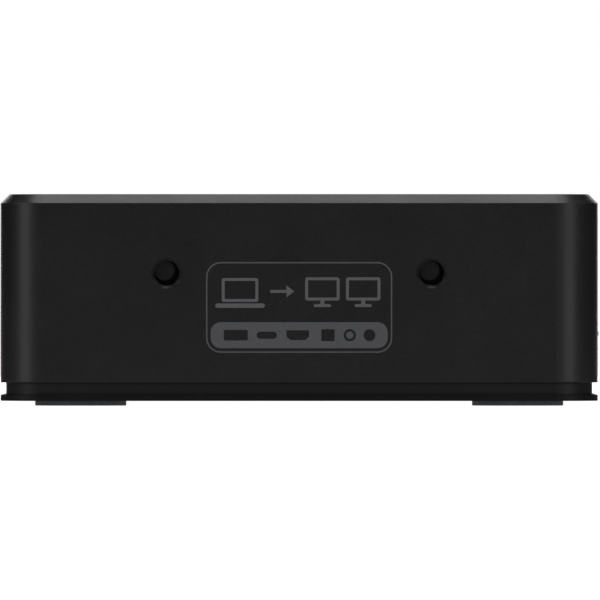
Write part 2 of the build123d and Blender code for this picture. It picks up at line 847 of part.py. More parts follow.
# ---------------------------------------------------------------- double stacked sockets
def stacked_socket(name, x):
    """Two flat sockets one above the other in a shared metal shell, with their insert."""
    face = rear_plane(x, stack_level, rear_face)
    levels = [(0, -stack_pitch / 2), (0, stack_pitch / 2)]
    with BuildPart() as shell:
        with BuildSketch(face):
            stack_outline(0)
        extrude(amount=stack_depth)
        with BuildSketch(face):
            with Locations(*levels):
                RectangleRounded(*type_a_opening, type_a_corner)
        extrude(amount=stack_depth, mode=Mode.SUBTRACT)
    save(shell, f"{name}_shell")
    insert_width = type_a_opening[0] - 2 * stack_insert_inset
    with BuildPart() as insert:
        with BuildSketch(face.offset(stack_depth - insert_block)):
            with Locations(*levels):
                Rectangle(insert_width, type_a_opening[1] - 2 * insert_fit)
        extrude(amount=insert_block)
        with BuildSketch(face.offset(stack_depth)):
            Rectangle(insert_width, stack_size[1])
        extrude(amount=stack_back)
        with BuildSketch(face.offset(tongue_setback)):
            with Locations(*[(0, y + type_a_tongue_y) for _, y in levels]):
                Rectangle(*type_a_tongue)
        extrude(amount=stack_depth - insert_block - tongue_setback)
    save(insert, f"{name}_insert")


for port_name in ("rear_stack_left", "rear_stack_right"):
    stacked_socket(port_name, rear_ports[port_name])

# ---------------------------------------------------------------- network socket
network_plane = rear_plane(rear_ports["network_socket"], network_level, rear_face)
network_light_places = ((-network_light_x, network_light_y), (network_light_x, network_light_y))

with BuildPart() as network_socket_shield:
    with BuildSketch(network_plane):
        Rectangle(*network_size)
        Rectangle(
            network_size[0] - 2 * sheet_metal, network_size[1] - 2 * sheet_metal,
            mode=Mode.SUBTRACT,
        )
    extrude(amount=network_depth)
save(network_socket_shield, "network_socket_shield")

with BuildPart() as network_socket_body:
    with BuildSketch(network_plane.offset(network_setback)):
        Rectangle(
            network_size[0] - 2 * (sheet_metal + insert_fit),
            network_size[1] - 2 * (sheet_metal + insert_fit),
        )
    extrude(amount=network_depth - 2 * network_setback)
    # The plug's way in, with the step for its latch below
    with BuildSketch(network_plane):
        with Locations((0, network_opening_y)):
            Rectangle(*network_opening)
        with Locations((0, network_opening_y - network_opening[1] / 2)):
            Rectangle(*network_latch)
    extrude(amount=network_cavity, mode=Mode.SUBTRACT)
    with BuildSketch(network_plane):
        with Locations(*network_light_places):
            Rectangle(*network_light)
    extrude(amount=network_light_depth, mode=Mode.SUBTRACT)
save(network_socket_body, "network_socket_body")

with BuildPart() as network_light_guides:
    with BuildSketch(network_plane.offset(network_light_setback)):
        with Locations(*network_light_places):
            Rectangle(network_light[0] - 2 * insert_fit, network_light[1] - 2 * insert_fit)
    extrude(amount=network_light_depth - 2 * network_light_setback)
save(network_light_guides, "network_light_guides")

# ---------------------------------------------------------------- power inlet
inlet_plane = rear_plane(rear_ports["power_inlet"], inlet_level, rear_face)
inlet_block_start = panel_setback + panel_thickness + panel_flange

with BuildPart() as power_inlet_body:
    with BuildSketch(inlet_plane.offset(inlet_block_start)):
        Rectangle(*inlet_size)
    extrude(amount=inlet_depth - inlet_block_start)
    with BuildSketch(inlet_plane):
        inlet_outline(0)
    extrude(amount=inlet_depth / 2)
    with BuildSketch(inlet_plane):
        Circle(inlet_bore / 2)
    extrude(amount=inlet_floor, mode=Mode.SUBTRACT)
save(power_inlet_body, "power_inlet_body")

with BuildPart() as power_inlet_pin:
    with BuildSketch(inlet_plane.offset(inlet_pin_setback)):
        Circle(inlet_pin / 2)
    extrude(amount=inlet_floor - inlet_pin_setback)
    fillet(power_inlet_pin.edges().group_by(Axis.Y)[-1], inlet_pin_round)
save(power_inlet_pin, "power_inlet_pin")

# ---------------------------------------------------------------- headset jack
jack_plane = front_plane(front_ports["headset_jack"], port_level, front_face)

with BuildPart() as headset_jack_ring:
    with BuildSketch(jack_plane):
        Circle(jack_ring_outer / 2)
        Circle(jack_bore / 2, mode=Mode.SUBTRACT)
    extrude(amount=jack_ring_length)
    chamfer(headset_jack_ring.edges().group_by(Axis.Y)[0], jack_ring_bevel)
save(headset_jack_ring, "headset_jack_ring")

with BuildPart() as headset_jack_body:
    with BuildSketch(jack_plane.offset(jack_ring_length)):
        Rectangle(jack_width, 2 * port_above_board)
        Circle(jack_bore / 2, mode=Mode.SUBTRACT)
    extrude(amount=jack_depth)
save(headset_jack_body, "headset_jack_body")

# ---------------------------------------------------------------- contacts
def type_a_contacts(face):
    """Four broad strips under a flat socket's tongue."""
    under_tongue = type_a_tongue_y - (type_a_tongue[1] + type_a_contact[1]) / 2
    contact_strips(
        face, type_a_contact_places, under_tongue, type_a_contact,
        type_a_contact_start, type_a_contact_length,
    )


def type_c_contacts(face):
    """Fine strips on both sides of a small socket's tongue."""
    off_tongue = (type_c_tongue[1] + type_c_contact[1]) / 2
    for side in (-1, 1):
        contact_strips(
            face, even_places(type_c_contact_count, type_c_contact_pitch), side * off_tongue,
            type_c_contact, type_c_contact_start, type_c_contact_length,
        )


def video_contacts(face):
    """Fine strips below and above a video socket's tongue."""
    off_tongue = (video_tongue[1] + video_contact[1]) / 2
    for side, count in zip((-1, 1), video_contact_counts):
        contact_strips(
            face, even_places(count, video_contact_pitch), side * off_tongue,
            video_contact, video_contact_start, video_contact_length,
        )


with BuildPart() as front_contacts:
    for port_name in ("front_type_a_left", "front_type_a_right"):
        type_a_contacts(front_plane(front_ports[port_name], port_level, front_face))
    type_c_contacts(front_plane(front_ports["front_type_c"], port_level, front_face))
save(front_contacts, "front_contacts")

with BuildPart() as rear_contacts:
    type_c_contacts(rear_plane(rear_ports["host_type_c"], port_level, rear_face))
    for port_name in ("video_port_left", "video_port_right"):
        video_contacts(rear_plane(rear_ports[port_name], port_level, rear_face))
    for port_name in ("rear_stack_left", "rear_stack_right"):
        for level in (stack_level - stack_pitch / 2, stack_level + stack_pitch / 2):
            type_a_contacts(rear_plane(rear_ports[port_name], level, rear_face))
save(rear_contacts, "rear_contacts")

with BuildPart() as network_contacts:
    contact_strips(
        network_plane, even_places(network_wire_count, network_wire_pitch),
        network_opening_y + network_opening[1] / 2 - network_wire_drop,
        (network_wire, network_wire), network_cavity - network_wire_length, network_wire_length,
    )
save(network_contacts, "network_contacts")

# ---------------------------------------------------------------- lock plate
with BuildPart() as lock_plate:
    lock_face = end_plane(1, 0, lock_slot_level)
    with BuildSketch(lock_face.offset(shell_wall)):
        RectangleRounded(
            lock_slot_width + 2 * lock_plate_margin,
            lock_slot_height + 2 * lock_plate_margin,
            lock_plate_corner,
        )
        RectangleRounded(lock_slot_width, lock_slot_height, lock_slot_corner, mode=Mode.SUBTRACT)
    extrude(amount=lock_plate_thickness)
save(lock_plate, "lock_plate")
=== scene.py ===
import json
import math

import bmesh
import bpy
import numpy as np
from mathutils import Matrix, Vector


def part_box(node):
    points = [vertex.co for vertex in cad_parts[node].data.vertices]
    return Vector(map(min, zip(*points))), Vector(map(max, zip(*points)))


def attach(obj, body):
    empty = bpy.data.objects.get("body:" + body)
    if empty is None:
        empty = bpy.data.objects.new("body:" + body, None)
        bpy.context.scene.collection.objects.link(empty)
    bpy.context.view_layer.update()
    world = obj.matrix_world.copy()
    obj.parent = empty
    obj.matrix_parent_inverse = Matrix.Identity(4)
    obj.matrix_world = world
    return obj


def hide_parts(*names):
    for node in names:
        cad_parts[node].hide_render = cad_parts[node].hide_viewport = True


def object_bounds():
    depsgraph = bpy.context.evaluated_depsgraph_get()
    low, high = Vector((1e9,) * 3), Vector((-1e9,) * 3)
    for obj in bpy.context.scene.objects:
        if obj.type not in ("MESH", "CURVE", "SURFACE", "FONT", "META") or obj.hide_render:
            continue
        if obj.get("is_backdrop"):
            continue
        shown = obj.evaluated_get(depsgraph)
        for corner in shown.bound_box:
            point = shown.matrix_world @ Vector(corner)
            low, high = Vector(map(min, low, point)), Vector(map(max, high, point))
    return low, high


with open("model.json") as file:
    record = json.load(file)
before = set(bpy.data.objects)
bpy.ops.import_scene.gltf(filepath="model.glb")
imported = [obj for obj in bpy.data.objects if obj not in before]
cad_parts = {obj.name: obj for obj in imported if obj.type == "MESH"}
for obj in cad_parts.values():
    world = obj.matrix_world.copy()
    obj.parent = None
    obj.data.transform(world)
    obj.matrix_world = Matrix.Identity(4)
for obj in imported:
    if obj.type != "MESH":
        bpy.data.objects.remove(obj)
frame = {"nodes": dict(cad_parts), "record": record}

# Laptop docking station: the looks. Metres throughout, in the CAD model's own frame.
# The CAD nodes keep their shapes and get finishes; the printed marks, the rubber feet,
# the socket springs and the network wires are made here.
mm = 0.001
cadLow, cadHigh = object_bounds()


def toLinear(hexColour, alpha=1.0):
    # sRGB hex value to the linear colour that the nodes use
    parts = [int(hexColour[i:i + 2], 16) / 255 for i in (1, 3, 5)]
    return [c / 12.92 if c <= 0.04045 else ((c + 0.055) / 1.055) ** 2.4 for c in parts] + [alpha]


def addNode(tree, kind, settings=None, links=None):
    # adds one node; settings name its inputs or its own fields, links name the sockets fed
    node = tree.nodes.new(kind)
    for key, value in (settings or {}).items():
        if isinstance(key, int) or key in node.inputs:
            node.inputs[key].default_value = value
        else:
            setattr(node, key, value)
    for key, source in (links or {}).items():
        tree.links.new(source, node.inputs[key])
    return node


def newMaterial(name):
    # an empty material with its output, ready for a shader
    material = bpy.data.materials.new(name)
    material.use_nodes = True
    material.node_tree.nodes.clear()
    return material, material.node_tree


def wearFinish(obj, material):
    # puts a material on a CAD node, whatever slots it has
    if not obj.data.materials:
        obj.data.materials.append(material)
    for slot in obj.material_slots:
        slot.material = material


def meshPiece(name, points, faces, body, material, smooth=True):
    # a mesh from an (n, 3) array of points and a list of faces, riding on a body
    mesh = bpy.data.meshes.new(name)
    mesh.from_pydata(points.tolist(), [], faces)
    mesh.validate()
    mesh.polygons.foreach_set("use_smooth", np.full(len(mesh.polygons), smooth))
    mesh.materials.append(material)
    obj = bpy.data.objects.new(name, mesh)
    bpy.context.scene.collection.objects.link(obj)
    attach(obj, body)
    return obj


def gridFaces(rows, columns, closeRows=False, closeColumns=False):
    # quads over a grid of points, wrapping round where the surface closes on itself
    i, j = np.meshgrid(
        np.arange(rows if closeRows else rows - 1),
        np.arange(columns if closeColumns else columns - 1),
        indexing="ij",
    )
    i, j = i.ravel(), j.ravel()
    nextI, nextJ = (i + 1) % rows, (j + 1) % columns
    quads = [i * columns + j, nextI * columns + j, nextI * columns + nextJ, i * columns + nextJ]
    return np.stack(quads, 1).tolist()


# One entry per plain finish. cloud: size of the slow mottling; grain: size of the fine
# relief; stretch: how far the grain is drawn out along X, Y and Z; all in millimetres.
finishes = {
    # aluminium, bead-blasted and anodised black: a fine even sparkle, satin, hardly any colour
    "anodisedAluminiumBlack": dict(
        dark="#1b1b1b", light="#1e1e1e", cloud=9.0, grain=0.34, stretch=(1, 1, 1), bump=0.10,
        depth=0.012, roughLow=0.37, roughHigh=0.43, metallic=0.0, edge="#4a4a4b", edgeWidth=0.22,
        edgeAmount=0.30, sheen=0.0, speckle=0.2,
    ),
    # ABS, moulded in an etched tool: duller than the shell, pebbled
    "mouldedAbsBlack": dict(
        dark="#0f0f0f", light="#131313", cloud=7.0, grain=0.45, stretch=(1, 1, 1), bump=0.22,
        depth=0.03, roughLow=0.48, roughHigh=0.58, metallic=0.0, edge="#2b2b2c", edgeWidth=0.2,
        edgeAmount=0.15, sheen=0.0, speckle=0.10,
    ),
    # the same plastic on the button cap, in a smoother tool
    "satinAbsButton": dict(
        dark="#191a1c", light="#202123", cloud=3.0, grain=0.25, stretch=(1, 1, 1), bump=0.10,
        depth=0.01, roughLow=0.34, roughHigh=0.44, metallic=0.0, edge="#3c3e43", edgeWidth=0.2,
        edgeAmount=0.4, sheen=0.0, speckle=0.08,
    ),
    # silicone rubber, die cut: blue-grey, soft, holds a little dust
    "dieCutRubber": dict(
        dark="#5f6266", light="#70737a", cloud=2.2, grain=0.22, stretch=(1, 1, 1), bump=0.35,
        depth=0.03, roughLow=0.72, roughHigh=0.88, metallic=0.0, edge="#7c8087", edgeWidth=0.25,
        edgeAmount=0.35, sheen=0.15, speckle=0.2,
    ),
    # steel, folded and nickel plated: bright, with faint lines from drawing the strip
    "nickelPlatedSteel": dict(
        dark="#9a9a97", light="#c4c3be", cloud=4.0, grain=0.12, stretch=(1, 12, 1), bump=0.12,
        depth=0.006, roughLow=0.20, roughHigh=0.36, metallic=1.0, edge="#e6e5e0", edgeWidth=0.12,
        edgeAmount=0.5, sheen=0.0, speckle=0.15,
    ),
    # steel, zinc plated screws: greyer and duller
    "zincPlatedSteel": dict(
        dark="#7f8286", light="#a9abad", cloud=1.5, grain=0.15, stretch=(1, 1, 1), bump=0.15,
        depth=0.008, roughLow=0.30, roughHigh=0.48, metallic=1.0, edge="#d0d1d2", edgeWidth=0.12,
        edgeAmount=0.5, sheen=0.0, speckle=0.2,
    ),
    # brass, turned: warm, with fine rings
    "turnedBrass": dict(
        dark="#8a6a2f", light="#c19a4e", cloud=1.5, grain=0.12, stretch=(1, 1, 0.15), bump=0.2,
        depth=0.008, roughLow=0.22, roughHigh=0.4, metallic=1.0, edge="#e8c884", edgeWidth=0.12,
        edgeAmount=0.4, sheen=0.0, speckle=0.15,
    ),
    # bronze springs, gold plated: bright yellow, rubbed along the way the plug slides
    "goldPlatedBronze": dict(
        dark="#b98532", light="#e3b65c", cloud=0.8, grain=0.08, stretch=(1, 14, 1), bump=0.12,
        depth=0.004, roughLow=0.16, roughHigh=0.32, metallic=1.0, edge="#f5d695", edgeWidth=0.06,
        edgeAmount=0.4, sheen=0.0, speckle=0.1,
    ),
    # PBT, moulded black, in the sockets: a dry glass-filled surface
    "mouldedPbtBlack": dict(
        dark="#131314", light="#1c1c1e", cloud=3.0, grain=0.25, stretch=(1, 3, 1), bump=0.18,
        depth=0.012, roughLow=0.42, roughHigh=0.55, metallic=0.0, edge="#2e2f31", edgeWidth=0.12,
        edgeAmount=0.35, sheen=0.0, speckle=0.15,
    ),
    # PBT, moulded blue, on the tongues of the fast flat sockets
    "mouldedPbtBlue": dict(
        dark="#123c86", light="#1f55ad", cloud=3.0, grain=0.25, stretch=(1, 3, 1), bump=0.16,
        depth=0.012, roughLow=0.34, roughHigh=0.48, metallic=0.0, edge="#4f86d6", edgeWidth=0.12,
        edgeAmount=0.35, sheen=0.0, speckle=0.12,
    ),
    # epoxy, transfer moulded round the chips: near black, faintly matt
    "mouldedEpoxy": dict(
        dark="#161617", light="#212123", cloud=2.5, grain=0.2, stretch=(1, 1, 1), bump=0.2,
        depth=0.012, roughLow=0.45, roughHigh=0.6, metallic=0.0, edge="#38393b", edgeWidth=0.15,
        edgeAmount=0.3, sheen=0.0, speckle=0.2,
    ),
    # aluminium, extruded, left natural: drawn lines along the fins
    "extrudedAluminium": dict(
        dark="#8e9092", light="#b9bbbc", cloud=6.0, grain=0.18, stretch=(20, 1, 1), bump=0.25,
        depth=0.01, roughLow=0.28, roughHigh=0.46, metallic=1.0, edge="#dfe0e0", edgeWidth=0.15,
        edgeAmount=0.4, sheen=0.0, speckle=0.12,
    ),
    # aluminium, deep drawn into capacitor cans
    "drawnAluminiumCan": dict(
        dark="#a3a5a8", light="#cfd0d1", cloud=2.0, grain=0.12, stretch=(1, 1, 10), bump=0.12,
        depth=0.006, roughLow=0.18, roughHigh=0.3, metallic=1.0, edge="#eeeeee", edgeWidth=0.12,
        edgeAmount=0.4, sheen=0.0, speckle=0.1,
    ),
    # ferrite, pressed powder: dark, granular, dead matt
    "pressedFerrite": dict(
        dark="#2c2d2f", light="#46474a", cloud=1.2, grain=0.3, stretch=(1, 1, 1), bump=0.5,
        depth=0.04, roughLow=0.7, roughHigh=0.85, metallic=0.0, edge="#6a6b6e", edgeWidth=0.2,
        edgeAmount=0.4, sheen=0.0, speckle=0.4,
    ),
    # ceramic, fired: tan, with the tin of its ends rubbing off on the edges
    "firedCeramic": dict(
        dark="#7d654b", light="#a3876a", cloud=0.8, grain=0.15, stretch=(1, 1, 1), bump=0.25,
        depth=0.01, roughLow=0.4, roughHigh=0.55, metallic=0.0, edge="#c9c6bf", edgeWidth=0.12,
        edgeAmount=0.5, sheen=0.0, speckle=0.25,
    ),
    # silicone pad, cast: soft grey with filler showing
    "castSilicone": dict(
        dark="#6d7277", light="#8b9095", cloud=1.5, grain=0.3, stretch=(1, 1, 1), bump=0.3,
        depth=0.03, roughLow=0.7, roughHigh=0.85, metallic=0.0, edge="#a5a9ad", edgeWidth=0.2,
        edgeAmount=0.3, sheen=0.1, speckle=0.35,
    ),
    # polyester film, rolled: milky amber, smooth
    "polyesterFilm": dict(
        dark="#b3a77f", light="#cdc298", cloud=12.0, grain=0.6, stretch=(6, 1, 1), bump=0.08,
        depth=0.01, roughLow=0.22, roughHigh=0.34, metallic=0.0, edge="#e4dcbd", edgeWidth=0.2,
        edgeAmount=0.3, sheen=0.0, speckle=0.06,
    ),
}


# painted shade in the bracket holes: where the holes are and how far they reach, the off-centre
# disc, and how dark the disc and the rim round it are made
paintedHoleShade = dict(
    out=18.825, level=18.9, reach=1.9, depth=1.3, depthReach=0.7,
    shadedDiscRadius=1.42, shadedDiscSoft=0.12, offsetBack=0.33, offsetUp=0.4, discShade=0.72, rimShade=0.12,
)


def shadeHoles(tree, place):
    # Painted shade in each bracket hole: colour and mirror light are darkened a little in a disc
    # set a little off the middle of the hole, towards the back and up, and much more in a rim round
    # it, in place of the shadow that the hole's walls cast on its bottom. Away from the holes the
    # factor is 1. A point is first taken from the middle of the hole on its own side; it counts as
    # in the hole where every one of its distances from there, over how far the hole reaches, rounds
    # down to nought.
    h = paintedHoleShade
    side = addNode(tree, "ShaderNodeVectorMath", {"operation": "SIGN"}, {0: place})
    hole = addNode(
        tree, "ShaderNodeVectorMath",
        {"operation": "MULTIPLY_ADD", 1: (0, h["out"] * mm, 0), 2: (0, 0, h["level"] * mm)},
        {0: side.outputs[0]},
    )
    fromHole = addNode(
        tree, "ShaderNodeVectorMath", {"operation": "SUBTRACT"}, {0: place, 1: hole.outputs[0]}
    )
    fromShadedDisc = addNode(
        tree, "ShaderNodeVectorMath",
        {"operation": "MULTIPLY_ADD", 1: (0, 1, 1),
         2: (0, -h["offsetBack"] * mm, -h["offsetUp"] * mm)},
        {0: fromHole.outputs[0]},
    )
    away = addNode(
        tree, "ShaderNodeVectorMath", {"operation": "LENGTH"}, {0: fromShadedDisc.outputs[0]}
    )
    inside = addNode(
        tree, "ShaderNodeMapRange",
        {"From Min": (h["shadedDiscRadius"] - h["shadedDiscSoft"]) * mm,
         "From Max": (h["shadedDiscRadius"] + h["shadedDiscSoft"]) * mm,
         "To Min": h["discShade"], "To Max": h["rimShade"]},
        {"Value": away.outputs["Value"]},
    )
    reach = Vector((h["depthReach"], h["reach"], h["reach"])) * mm
    folded = addNode(
        tree, "ShaderNodeVectorMath", {"operation": "ABSOLUTE"}, {0: fromHole.outputs[0]}
    )
    scaled = addNode(
        tree, "ShaderNodeVectorMath",
        {"operation": "MULTIPLY_ADD", 1: (1 / reach.x, 1 / reach.y, 1 / reach.z),
         2: ((h["depth"] * mm - cadHigh.x) / reach.x, 0, 0)},
        {0: folded.outputs[0]},
    )
    shares = addNode(
        tree, "ShaderNodeVectorMath", {"operation": "ABSOLUTE"}, {0: scaled.outputs[0]}
    )
    steps = addNode(tree, "ShaderNodeVectorMath", {"operation": "FLOOR"}, {0: shares.outputs[0]})
    outside = addNode(
        tree, "ShaderNodeVectorMath", {"operation": "LENGTH"}, {0: steps.outputs[0]}
    )
    return addNode(
        tree, "ShaderNodeMix", {"data_type": "FLOAT", 3: 1.0},
        {0: outside.outputs["Value"], 2: inside.outputs[0]},
    ).outputs[0]


flangeShade = dict(level=1.65, soft=0.05, flange=0.52, groove=0.85)


def shadeFlange(tree, place):
    # colour and mirror light are scaled down below 1.65 mm, so the flange's edge comes out darker
    # and duller than the groove above it
    f = flangeShade
    height = addNode(tree, "ShaderNodeSeparateXYZ", links={0: place}).outputs["Z"]
    return addNode(
        tree, "ShaderNodeMapRange",
        {"From Min": (f["level"] - f["soft"]) * mm, "From Max": (f["level"] + f["soft"]) * mm,
         "To Min": f["flange"], "To Max": f["groove"]},
        {"Value": height},
    ).outputs[0]


usualSpecular = 0.5      # the shader's own level of mirror light
# finishes whose colour and mirror light a factor scales: painted shade in the shell's bracket
# holes, and the black ABS darker below the flange's top
shades = {"anodisedAluminiumBlack": shadeHoles, "mouldedAbsBlack": shadeFlange}


cloudSpan, grainSpan = (0.3, 0.7), (0.35, 0.65)      # what the two noises swing between


def plainFinish(name, look):
    # Base colour: slow noise between two colours, varied by a fine speckle, then lightened
    # where the bevelled normal leaves the true one, which is along edges that hands rub.
    # Relief: fine noise. Roughness: the same slow noise and speckle, each within its range.
    material, tree = newMaterial(name)
    place = addNode(tree, "ShaderNodeTexCoord").outputs["Object"]
    inverse = tuple(1 / s for s in look["stretch"])
    drawn = addNode(tree, "ShaderNodeMapping", {"Scale": inverse}, {"Vector": place})
    cloud = addNode(
        tree, "ShaderNodeTexNoise",
        {"Scale": 1 / (look["cloud"] * mm), "Detail": 3.0, "Roughness": 0.55}, {"Vector": place},
    )
    grain = addNode(
        tree, "ShaderNodeTexNoise",
        {"Scale": 1 / (look["grain"] * mm), "Detail": 2.0, "Roughness": 0.6},
        {"Vector": drawn.outputs[0]},
    )
    tone = addNode(
        tree, "ShaderNodeMapRange", {"From Min": cloudSpan[0], "From Max": cloudSpan[1]},
        {"Value": cloud.outputs[0]},
    )
    body = addNode(
        tree, "ShaderNodeMix",
        {"data_type": "RGBA", 6: toLinear(look["dark"]), 7: toLinear(look["light"])},
        {0: tone.outputs[0]},
    )
    spots = addNode(
        tree, "ShaderNodeMapRange",
        {"From Min": grainSpan[0], "From Max": grainSpan[1],
         "To Min": 1 - look["speckle"], "To Max": 1 + look["speckle"]},
        {"Value": grain.outputs[0]},
    )
    spotted = addNode(
        tree, "ShaderNodeVectorMath", {"operation": "SCALE"},
        {0: body.outputs[2], "Scale": spots.outputs[0]},
    )
    rounded = addNode(tree, "ShaderNodeBevel", {"samples": 4, "Radius": look["edgeWidth"] * mm})
    trueNormal = addNode(tree, "ShaderNodeNewGeometry")
    facing = addNode(
        tree, "ShaderNodeVectorMath", {"operation": "DOT_PRODUCT"},
        {0: rounded.outputs[0], 1: trueNormal.outputs["Normal"]},
    )
    edge = addNode(
        tree, "ShaderNodeMapRange",
        {"From Min": 0.995, "From Max": 0.90, "To Min": 0.0, "To Max": look["edgeAmount"]},
        {"Value": facing.outputs["Value"]},
    )
    patchy = addNode(
        tree, "ShaderNodeMath", {"operation": "MULTIPLY"},
        {0: edge.outputs[0], 1: tone.outputs[0]},
    )
    worn = addNode(
        tree, "ShaderNodeMix", {"data_type": "RGBA", 7: toLinear(look["edge"])},
        {0: patchy.outputs[0], 6: spotted.outputs[0]},
    )
    halfCloud = addNode(
        tree, "ShaderNodeMath", {"operation": "MULTIPLY", 1: 0.5}, {0: cloud.outputs[0]}
    )
    bothNoises = addNode(
        tree, "ShaderNodeMath", {"operation": "MULTIPLY_ADD", 1: 0.5},
        {0: grain.outputs[0], 2: halfCloud.outputs[0]},
    )
    rough = addNode(
        tree, "ShaderNodeMapRange",
        {"From Min": grainSpan[0], "From Max": grainSpan[1],
         "To Min": look["roughLow"], "To Max": look["roughHigh"]},
        {"Value": bothNoises.outputs[0]},
    )
    relief = addNode(
        tree, "ShaderNodeBump", {"Strength": look["bump"], "Distance": look["depth"] * mm},
        {"Height": grain.outputs[0]},
    )
    colour, more = worn.outputs[2], {}
    # the factor scales colour and mirror light: on the shell it paints shade into the bracket
    # holes; on the black ABS it darkens everything below the flange's top
    if name in shades:
        factor = shades[name](tree, place)
        colour = addNode(
            tree, "ShaderNodeVectorMath", {"operation": "SCALE"}, {0: colour, "Scale": factor}
        ).outputs[0]
        more["Specular IOR Level"] = addNode(
            tree, "ShaderNodeMath", {"operation": "MULTIPLY", 1: usualSpecular}, {0: factor}
        ).outputs[0]
    shader = addNode(
        tree, "ShaderNodeBsdfPrincipled",
        {"Metallic": look["metallic"], "Sheen Weight": look["sheen"]},
        {"Base Color": colour, "Roughness": rough.outputs[0], "Normal": relief.outputs[0], **more},
    )
    addNode(tree, "ShaderNodeOutputMaterial", links={"Surface": shader.outputs[0]})
    return material


inkSkin = dict(pinhole=0.3, thinnest=0.8, roughLow=0.45, roughHigh=0.6, bump=0.1, depth=0.01)


def screenInk(name, hexColour):
    # screen-printed ink: one flat grey with tiny pinholes and a soft satin skin
    material, tree = newMaterial(name)
    place = addNode(tree, "ShaderNodeTexCoord").outputs["Object"]
    holes = addNode(
        tree, "ShaderNodeTexNoise", {"Scale": 1 / (inkSkin["pinhole"] * mm), "Detail": 2.0},
        {"Vector": place},
    )
    cover = addNode(
        tree, "ShaderNodeMapRange",
        {"From Min": 0.3, "From Max": 0.45, "To Min": inkSkin["thinnest"], "To Max": 1.0},
        {"Value": holes.outputs[0]},
    )
    colour = addNode(
        tree, "ShaderNodeVectorMath", {"operation": "SCALE", 0: toLinear(hexColour)[:3]},
        {"Scale": cover.outputs[0]},
    )
    rough = addNode(
        tree, "ShaderNodeMapRange",
        {"To Min": inkSkin["roughLow"], "To Max": inkSkin["roughHigh"]},
        {"Value": holes.outputs[0]},
    )
    relief = addNode(
        tree, "ShaderNodeBump",
        {"Strength": inkSkin["bump"], "Distance": inkSkin["depth"] * mm},
        {"Height": holes.outputs[0]},
    )
    shader = addNode(
        tree, "ShaderNodeBsdfPrincipled", None,
        {"Base Color": colour.outputs[0], "Roughness": rough.outputs[0],
         "Normal": relief.outputs[0]},
    )
    addNode(tree, "ShaderNodeOutputMaterial", links={"Surface": shader.outputs[0]})
    return material


acrylicSkin = dict(haze=0.25, roughLow=0.12, roughHigh=0.3)


def litAcrylic(name, look):
    # acrylic light pipe, moulded clear: it glows from inside, paler at its core than its rim,
    # with a faint haze; unlit, it is a dull clear grey
    material, tree = newMaterial(name)
    place = addNode(tree, "ShaderNodeTexCoord").outputs["Object"]
    haze = addNode(
        tree, "ShaderNodeTexNoise", {"Scale": 1 / (acrylicSkin["haze"] * mm), "Detail": 2.0},
        {"Vector": place},
    )
    rim = addNode(tree, "ShaderNodeLayerWeight", {"Blend": 0.35})
    mixed = addNode(
        tree, "ShaderNodeMath", {"operation": "MULTIPLY_ADD", 1: 0.25},
        {0: haze.outputs[0], 2: rim.outputs["Facing"]},
    )
    glow = addNode(
        tree, "ShaderNodeMix",
        {"data_type": "RGBA", 6: toLinear(look["core"]), 7: toLinear(look["rim"])},
        {0: mixed.outputs[0]},
    )
    rough = addNode(
        tree, "ShaderNodeMapRange",
        {"To Min": acrylicSkin["roughLow"], "To Max": acrylicSkin["roughHigh"]},
        {"Value": haze.outputs[0]},
    )
    shader = addNode(
        tree, "ShaderNodeBsdfPrincipled", {"Emission Strength": look["strength"]},
        {"Base Color": glow.outputs[2], "Emission Color": glow.outputs[2],
         "Roughness": rough.outputs[0]},
    )
    addNode(tree, "ShaderNodeOutputMaterial", links={"Surface": shader.outputs[0]})
    return material


board = dict(
    mask="#0f2a1e", track="#1d4a33", copper="#b9964e", trackPitch=6.0, viaPitch=2.4, trackRise=0.03,
)


def solderMask(name, look):
    # glass-fibre board under dark green mask: raised copper tracks in rows, plated vias
    material, tree = newMaterial(name)
    place = addNode(tree, "ShaderNodeTexCoord").outputs["Object"]
    rows = addNode(
        tree, "ShaderNodeTexWave",
        {"wave_type": "BANDS", "bands_direction": "DIAGONAL",
         "Scale": 1 / (look["trackPitch"] * mm), "Distortion": 3.0, "Detail": 0.0},
        {"Vector": place},
    )
    tracks = addNode(
        tree, "ShaderNodeMapRange", {"From Min": 0.55, "From Max": 0.62},
        {"Value": rows.outputs["Fac"]},
    )
    cells = addNode(
        tree, "ShaderNodeTexVoronoi", {"Scale": 1 / (look["viaPitch"] * mm)}, {"Vector": place}
    )
    vias = addNode(
        tree, "ShaderNodeMapRange",
        {"From Min": 0.10, "From Max": 0.13, "To Min": 1.0, "To Max": 0.0},
        {"Value": cells.outputs["Distance"]},
    )
    mask = addNode(
        tree, "ShaderNodeMix",
        {"data_type": "RGBA", 6: toLinear(look["mask"]), 7: toLinear(look["track"])},
        {0: tracks.outputs[0]},
    )
    colour = addNode(
        tree, "ShaderNodeMix", {"data_type": "RGBA", 7: toLinear(look["copper"])},
        {0: vias.outputs[0], 6: mask.outputs[2]},
    )
    rough = addNode(
        tree, "ShaderNodeMapRange", {"To Min": 0.3, "To Max": 0.18}, {"Value": tracks.outputs[0]}
    )
    relief = addNode(
        tree, "ShaderNodeBump", {"Strength": 0.4, "Distance": look["trackRise"] * mm},
        {"Height": tracks.outputs[0]},
    )
    shader = addNode(
        tree, "ShaderNodeBsdfPrincipled", None,
        {"Base Color": colour.outputs[2], "Roughness": rough.outputs[0],
         "Normal": relief.outputs[0]},
    )
    addNode(tree, "ShaderNodeOutputMaterial", links={"Surface": shader.outputs[0]})
    return material


made = {name: plainFinish(name, look) for name, look in finishes.items()}
inks = dict(screenInkGrey="#646569", screenInkBlack="#141415", screenInkPale="#707174")
made.update({name: screenInk(name, colour) for name, colour in inks.items()})
acrylics = {
    "litAcrylicBlue": dict(core="#2f88c2", rim="#1c5f98", strength=0.55),
    "clearAcrylicGuide": dict(core="#cfd6d2", rim="#8e9a94", strength=0.0),
}
made.update({name: litAcrylic(name, look) for name, look in acrylics.items()})
made["solderMaskGreen"] = solderMask("solderMaskGreen", board)

